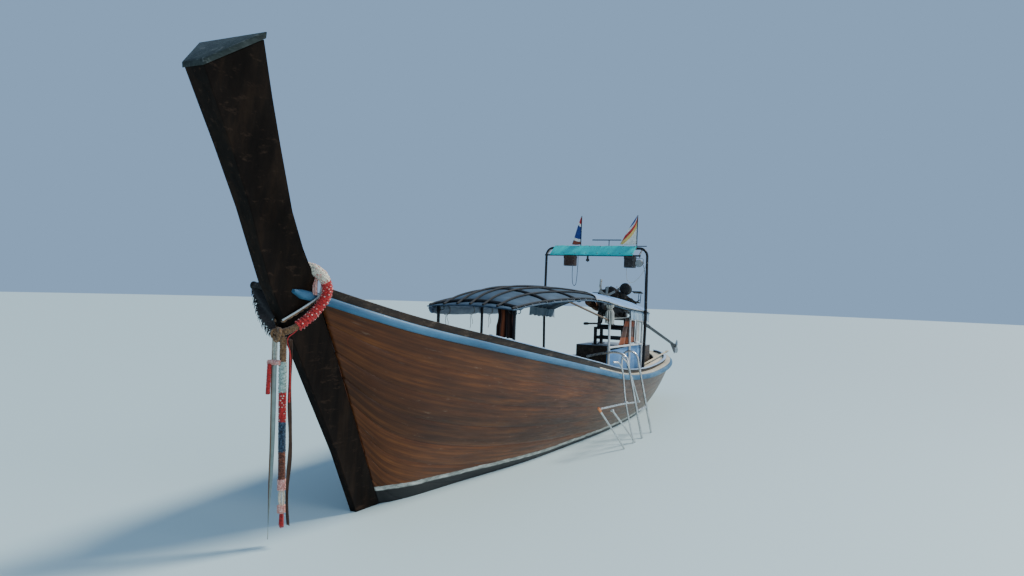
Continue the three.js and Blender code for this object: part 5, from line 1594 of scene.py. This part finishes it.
TIP = (0.950, 0.945, 0.492)
STAYS = [
    [(0.215, 0.838, 0.884), (0.130, 0.880, 0.868), (0.098, 0.905, 0.800), PINS[0], (-0.013, 1.070, -0.170)],
    [(-0.105, 0.845, 0.905), (-0.140, 0.884, 0.855), (-0.170, 0.902, 0.780), PINS[1]],
    [TIP, (0.530, 1.010, 0.150), (0.120, 1.078, -0.195), (-0.020, 1.088, -0.262), (-0.330, 1.096, -0.325)],
    [PINS[3], (0.100, 1.020, 0.100), PINS[2]],
    [(0.905, 0.948, 0.486), (0.080, 0.952, 0.434), (-0.215, 0.962, 0.408)],
]
bm = bmesh.new()
for stay in STAYS:
    tube(bm, smooth(stay, 12 * len(stay)), 0.0095, 14)
for x, y, z in PINS:
    disc(bm, (x, y - 0.014, z), ACROSS, 0.0135, 0.030, 12, 0.003)
fixed("ladder_fold_out", bm, "steel_tube", stainless)
bm = bmesh.new()
tip = Vector(TIP)
back = (Vector(STAYS[2][1]) - tip).normalized()
tube(bm, [tip + back * d for d in (-0.012, -0.008, 0.055, 0.058)], [0.008, 0.0125, 0.0125, 0.0100], 16)
fixed("ladder_fold_out_cap", bm, "steel_tube",
      painted("cap_orange", (0.60, 0.16, 0.03), (0.72, 0.36, 0.20), (0.40, 0.38, 0.34), 0.5, 0.64))

# Pole.
# A peeled and painted wooden pole, laid on the stern's covering board and lashed at both ends.
pole_paint = painted("pole_cream", (0.42, 0.36, 0.24), (0.60, 0.54, 0.40), (0.20, 0.14, 0.09), 0.6, 0.60)
BUTT_END, THIN_END = Vector((-1.640, 0.576, 0.650)), Vector((-3.960, 0.392, 0.711))
bm = bmesh.new()
tube(bm, [BUTT_END.lerp(THIN_END, i / 60) + Vector((0, 0.0012 * math.sin(i * 0.31), 0)) for i in range(61)],
     [0.0136 - 0.0012 * i / 60 + 0.0004 * math.sin(i * 1.9) for i in range(61)], 18)
fixed("pole_painted", bm, "pole_wood", pole_paint, "pole")
bm = bmesh.new()
LASH_R = 0.0160
along = (THIN_END - BUTT_END).normalized()
across = along.cross(Vector(UPWARD)).normalized()
for f in (0.06, 0.10, 0.93):
    for lap in range(3):
        hoop(bm, BUTT_END.lerp(THIN_END, f) + along * (0.007 * lap), across * LASH_R, (0, 0, LASH_R), 0.0028,
             18)
fixed("pole_lashings", bm, "pole_wood", lace_cord)

# Garlands on the neck.
# Offerings for luck: a thick loop of paper and cloth flowers round the neck of the stem, cream at the back
# and red in front, over twisted cloth ropes that meet in a knot ahead of the stem.
random.seed(7)


def bead(bm, centre, r, lie=Matrix()):
    """A small ball, or a petal when lie flattens and turns it."""
    bmesh.ops.create_icosphere(bm, subdivisions=1, radius=r, matrix=Matrix.Translation(centre) @ lie)


def puffs(bm, path, start, end, thick, size, every, around, keep=1.0, flat=0.75):
    """Small petals packed round a path between two fractions of it."""
    length = sum((Vector(b) - Vector(a)).length for a, b in zip(path, path[1:])) * (end - start)
    rows = max(2, round(length / every))
    for i in range(rows + 1):
        f = start + (end - start) * i / rows
        middle = through(path, f)
        ahead = (through(path, min(1, f + 0.01)) - through(path, max(0, f - 0.01))).normalized()
        side = ahead.cross(Vector(UPWARD if abs(ahead.z) < 0.8 else ACROSS)).normalized()
        other = ahead.cross(side)
        for k in range(around):
            if random.random() > keep:
                continue
            a = 2 * math.pi * (k + 0.5 * (i % 2)) / around + random.uniform(-0.15, 0.15)
            out = side * math.cos(a) + other * math.sin(a)
            r = size * random.uniform(0.8, 1.2)
            lie = out.to_track_quat("Z", "Y").to_matrix().to_4x4()
            lie = lie @ Matrix.Rotation(random.uniform(-0.6, 0.6), 4, "X")
            lie = lie @ Matrix.Diagonal((1, random.uniform(0.7, 1.0), flat, 1))
            bead(bm, middle + out * (thick - flat * r), r, lie)


def petals(name, colour, shade, tips=None):
    """Crumpled paper or cloth petals with painted shade in the folds, lighter on raised tips if tips is
    given.
    """
    made, tree, shader, where = blank(name, 0.85)
    shader.inputs["Sheen Weight"].default_value = 0.3
    crumple = noise(tree, where["Object"], 75, (1, 1, 1), 8, 0.7)
    stops = [(0.36, shade), (0.54, colour)] + ([(0.66, tips)] if tips else [])
    coloured(tree, shader, ramp(tree, crumple, *stops))
    bumped(tree, shader, crumple, 0.8, 0.003)
    return made


cream_petals = petals("petals_cream", (0.68, 0.63, 0.50), (0.40, 0.33, 0.24))
red_petals = petals("petals_red", (0.50, 0.022, 0.020), (0.16, 0.010, 0.010))
pink_petals = petals("petals_pink", (0.70, 0.34, 0.28), (0.42, 0.16, 0.13), (0.80, 0.68, 0.58))
green_petals = petals("petals_grey_green", (0.34, 0.46, 0.40), (0.11, 0.16, 0.15), (0.52, 0.62, 0.56))
blue_petals = petals("petals_dark_blue", (0.020, 0.045, 0.080), (0.006, 0.012, 0.022), (0.10, 0.17, 0.24))
rust_petals = petals("petals_brown_red", (0.14, 0.040, 0.020), (0.045, 0.016, 0.010), (0.30, 0.10, 0.05))
fuzzy_brown = petals("fibre_brown", (0.20, 0.105, 0.045), (0.075, 0.038, 0.018), (0.32, 0.19, 0.09))
PORT_LOOP = [(4.352, 0.006, 1.322), (4.290, 0.086, 1.365), (4.178, 0.148, 1.470), (4.118, 0.184, 1.600),
             (4.150, 0.168, 1.690), (4.176, 0.128, 1.728), (4.172, 0.066, 1.742), (4.168, 0.0, 1.746)]
PORT_ROPE = [(4.352, 0.030, 1.398), (4.225, 0.088, 1.482), (4.128, 0.116, 1.548), (4.108, 0.126, 1.600),
             (4.130, 0.142, 1.690), (4.160, 0.110, 1.722), (4.160, 0.030, 1.730)]
# Each row: name, start, end, reach, petal, spacing, round, finish, and small pale dots or not.
LOOP_PARTS = [("fuzz", 0.0, 0.17, 0.024, 0.0095, 0.010, 10, fuzzy_brown, False),
              ("red", 0.16, 0.52, 0.036, 0.0105, 0.0135, 13, red_petals, True),
              ("cream", 0.52, 1.0, 0.037, 0.0125, 0.0150, 11, cream_petals, True)]
for side_name, side in (("port", 1), ("starboard", -1)):
    path = [(x, side * y, z) for x, y, z in PORT_LOOP]
    for name, start, end, reach, size, every, around, finish, dots in LOOP_PARTS:
        bm = bmesh.new()
        tube(bm, [through(path, start + (end - start) * i / 16) for i in range(17)], reach * 0.80, 12)
        puffs(bm, path, start, end, reach, size, every, around)
        nodes = ["garland_loop"] if name == "red" and side > 0 else []
        fixed(f"garland_{name}_{side_name}", bm, "garland", finish, *nodes)
        if dots:
            bm = bmesh.new()
            puffs(bm, path, start + 0.02, end - 0.01, reach + 0.002, 0.0062, 0.0155, 9, 0.50)
            fixed(f"garland_{name}_dots_{side_name}", bm, "garland", pink_petals)
    inner = [(x, side * y, z) for x, y, z in PORT_ROPE]
    bm = bmesh.new()
    for k in range(2):
        twist = [i * 0.9 + math.pi * k for i in range(81)]
        tube(bm, [p + Vector((0.0048 * math.cos(a), 0, 0.0052 * math.sin(a)))
                  for p, a in zip(smooth(inner, 80), twist)], 0.0068, 10)
    fixed("cloth_rope_" + side_name, bm, "garland", fuzzy_brown)
    bm = bmesh.new()
    lifted = [Vector(p) + Vector((0.008, side * 0.010, 0.010)) for p in inner]
    swelling = [0.0060 + 0.0065 * min(1.0, max(0.0, i / 60 - 0.35) * 4) for i in range(61)]
    tube(bm, smooth(lifted, 60), swelling, 12)
    pale = cloth("pale_cord_cloth_" + side_name, (0.36, 0.44, 0.46), (0.58, 0.62, 0.60), 0.7, 900)
    fixed("pale_cord_" + side_name, bm, "garland", pale)
bm = bmesh.new()
for y, wide in ((0.102, 0.011), (0.118, 0.010)):
    strand = [(4.150, y + 0.035, 1.735), (4.160, y + 0.010, 1.660), (4.150, y, 1.570)]
    tube(bm, smooth(strand, 20), wide, 10)
fixed("pink_strands", bm, "garland", pink_petals)
bm = bmesh.new()
KNOT = Vector((4.362, 0.004, 1.316))
for a in turn(7)[:-1]:
    lobe = KNOT + Vector((0.010 * math.sin(3 * a), 0.018 * math.cos(a) + 0.004, 0.014 * math.sin(a)))
    hoop(bm, lobe, (0.016 * math.cos(a), 0.026 * math.sin(a), 0), (0, 0, 0.026), 0.0095, 20, 10)
puffs(bm, [KNOT + Vector((0, -0.024, 0.004)), KNOT + Vector((0, 0.026, -0.002))], 0, 1, 0.030, 0.008, 0.009,
      12, 0.7)
fixed("garland_knot", bm, "garland", fuzzy_brown)
bm = bmesh.new()
for y in (0.006, 0.013):
    thread = [(4.246, 0.114 - y * 0.3, 1.392), (4.305, 0.094, 1.336), (4.346, 0.078 - 0.2 * y, 1.296),
              (4.344, 0.086 + y, 1.200), (4.340, 0.088 + y, 1.020), (4.340, 0.088 + y, 0.900)]
    tube(bm, smooth(thread, 60), 0.0030, 6)
fixed("red_threads", bm, "garland", red_petals)

# Stacked garland.
# Hangs from the knot: rings of flowers threaded in blocks of one colour each, with two pale tufts, beaded
# strings and a red tassel at its foot.
DROP = [(4.350, 0.042, 1.320), (4.340, 0.042, 0.900), (4.328, 0.043, 0.500), (4.316, 0.044, 0.090)]


def drop_at(z):
    """Fraction of the way down the string at a height."""
    return (DROP[0][2] - z) / (DROP[0][2] - DROP[-1][2])


# Each row: name, top z, foot z, reach, petal, spacing, round, finish, pale dots or not.
for name, top, foot, reach, size, every, around, finish, dots in [
        ("fibre", 1.300, 1.150, 0.0235, 0.0090, 0.012, 9, fuzzy_brown, False),
        ("ruffles", 1.147, 0.974, 0.0270, 0.0125, 0.0170, 8, green_petals, False),
        ("red_block", 0.972, 0.786, 0.0255, 0.0085, 0.0105, 11, red_petals, True),
        ("blue_block", 0.784, 0.592, 0.0250, 0.0085, 0.0105, 11, blue_petals, False),
        ("rust_block", 0.590, 0.412, 0.0245, 0.0090, 0.0110, 10, rust_petals, False),
        ("tuft_upper", 0.408, 0.350, 0.0290, 0.0100, 0.0110, 11, pink_petals, False),
        ("tuft_lower", 0.244, 0.208, 0.0290, 0.0100, 0.0110, 11, pink_petals, False)]:
    bm = bmesh.new()
    tube(bm, [through(DROP, drop_at(top + (foot - top) * i / 8)) for i in range(9)], reach * 0.78, 12)
    if name == "ruffles":
        for k in range(5):
            z = top - 0.010 - 0.0345 * k
            tube(bm, [through(DROP, drop_at(z + dz)) for dz in (0.012, 0.004, -0.006, -0.012)],
                 [0.018, 0.024, 0.0275, 0.020], 18)
    puffs(bm, DROP, drop_at(top), drop_at(foot), reach, size, every, around)
    fixed("garland_" + name, bm, "garland", finish, *(["garland_drop"] if name == "red_block" else []))
    if dots:
        bm = bmesh.new()
        puffs(bm, DROP, drop_at(top - 0.01), drop_at(foot + 0.01), reach + 0.002, 0.0050, 0.014, 8, 0.45)
        fixed(f"garland_{name}_dots", bm, "garland", cream_petals)
bm = bmesh.new()
BEAD_R, BEAD_STEP = 0.0046, 0.0085
for a in turn(6)[:-1]:
    for n in range(13):
        out = 0.011 + 0.008 * math.sin(math.pi * n / 12)
        middle = through(DROP, drop_at(0.348 - BEAD_STEP * n))
        bead(bm, middle + Vector((out * math.cos(a), out * math.sin(a), 0)), BEAD_R)
for k in range(4):
    for n in range(15):
        bead(bm, KNOT + Vector((0.010, -0.028 + 0.013 * k, -0.034 - BEAD_STEP * n)), BEAD_R)
fixed("beaded_strings", bm, "garland", cream_petals)
bm = bmesh.new()
TASSEL_TOP = 0.214
for k in range(26):
    a, r = 2.4 * k, 0.0025 * math.sqrt(k)
    low = 0.104 + 0.020 * random.random()
    tube(bm, [(4.318 + r * math.cos(a) * (0.8 + 0.5 * f), 0.044 + r * math.sin(a) * (0.8 + 0.5 * f),
               TASSEL_TOP + (low - TASSEL_TOP) * f) for f in (0, 0.35, 0.7, 1.0)],
         [0.0030, 0.0030, 0.0026, 0.0014], 6)
fixed("red_tassel", bm, "garland", red_petals)
bm = bmesh.new()
BAR = [(4.376, -0.044, 1.143), (4.376, 0.040, 1.146)]
tube(bm, BAR, 0.012, 10)
puffs(bm, BAR, 0, 1, 0.0175, 0.0085, 0.0100, 9)
fixed("garland_crossband", bm, "garland", pink_petals)
bm = bmesh.new()
STRIP = [(4.386, -0.030, 1.130), (4.388, -0.034, 0.950)]
puffs(bm, STRIP, 0, 1, 0.0150, 0.0078, 0.0095, 8)
tube(bm, STRIP, 0.0110, 10)
fixed("garland_short_strip", bm, "garland", red_petals)

# Sash and ribbons.
# A long grey-green sash with a brown edge hangs to the water from the knot, a wavy brown ribbon behind the
# stacked garland, and a dark fringed cloth from the starboard side of the neck.
sash_cloth = banded("sash_grey_green", ((0.17, 0.095, 0.05), (0.26, 0.30, 0.26), (0.30, 0.35, 0.31),
                                        (0.24, 0.28, 0.26)), 0.0, 0.0105)


def across_strip(middle, wide, bow, phase, count, waves):
    """Points from one edge of a hanging strip to the other, bowed forward and back."""
    return [middle + Vector((bow * math.sin(waves * math.pi * k / count + phase), wide * (k / count - 0.5),
                             0))
            for k in range(count + 1)]


rings = []
for f in [i / 120 for i in range(121)]:
    wide = 0.0400 - 0.0060 * f if f < 0.72 else 0.0357 * max(0.10, (1 - f) / 0.28)
    y = -0.008 - 0.030 * max(0.0, f - 0.7) + 0.0016 * math.sin(7 * f)
    rings.append(across_strip(Vector((4.3670 + 0.003 * math.sin(9 * f), y, 1.300 - 1.262 * f)), wide, 0.0035,
                              5 * f, 8, 1))
strip = sheet("sash_strip", rings, 0.0022)
fitted(strip, "hull", "sash_cloth", sash_cloth, "sash")
ribbon_cloth = cloth("ribbon_brown", (0.050, 0.022, 0.012), (0.11, 0.050, 0.026), 0.8, 900)
rings = []
for f in [i / 110 for i in range(111)]:
    bend = 0.010 * math.sin(12 * f + 1) * f
    wide = 0.022 + 0.010 * math.sin(math.pi * min(1.0, f * 1.05)) + 0.004 * math.sin(21 * f)
    rings.append(across_strip(Vector((4.334 - 0.022 * f, 0.092 + bend, 1.290 - 1.160 * f)), wide, 0.004,
                              9 * f, 6, 2))
ribbon = sheet("wavy_ribbon", rings, 0.0018)
fitted(ribbon, "hull", "sash_cloth", ribbon_cloth)
bm = bmesh.new()
tube(bm, [(4.352, 0.046, 1.302), (4.344, 0.066, 1.294), (4.334, 0.092, 1.287)], 0.0060, 8)
fixed("ribbon_loop", bm, "sash_cloth", ribbon_cloth)
fringe_cloth = cloth("fringe_dark", (0.010, 0.009, 0.010), (0.034, 0.030, 0.030), 0.85, 600)
EDGE = [(4.356, -0.206, 1.612), (4.372, -0.178, 1.545), (4.384, -0.130, 1.462), (4.386, -0.082, 1.395),
        (4.374, -0.036, 1.338)]
# The peg that sticks out on the starboard side of the neck stands in shadow; the keel's near-black paint on
# it is painted shade.
bm = bmesh.new()
tube(bm, [(4.300, -0.030, 1.606), (4.345, -0.120, 1.612), (4.352, -0.212, 1.618)], [0.026, 0.025, 0.022], 14)
disc(bm, (4.352, -0.210, 1.618), (0, -1, 0.05), 0.026, 0.016, 14, 0.004)
fixed("neck_peg_painted_shade", bm, "stem_wood", foot_paint)
rings = []
for i, outer in enumerate(smooth(EDGE, 96)):
    f = i / 96
    inner = Vector((4.330 + 0.030 * f, -0.052 + 0.034 * f, 1.600 - 0.262 * f))
    outer = outer + (outer - inner).normalized() * (0.004 + 0.014 * abs((i % 8) / 4 - 1))
    rings.append([inner.lerp(outer, k / 12) + Vector((0.008 * math.sin(2.4 * math.pi * k / 12 + 11 * f), 0,
                                                      0))
                  for k in range(13)])
fringe = sheet("fringed_cloth", rings, 0.0020)
fitted(fringe, "hull", "sash_cloth", fringe_cloth)
bm = bmesh.new()
for outer in smooth(EDGE, 96)[::3]:
    for k in range(3):
        swing = random.uniform(-0.010, 0.010)
        tube(bm, [outer, outer + Vector((0.004, -0.006 + swing, -0.014)),
                  outer + Vector((0.005, -0.008 + 1.6 * swing, -0.028 - 0.006 * k))],
             [0.0022, 0.0020, 0.0010], 5)
fixed("cloth_fringe", bm, "sash_cloth", fringe_cloth)
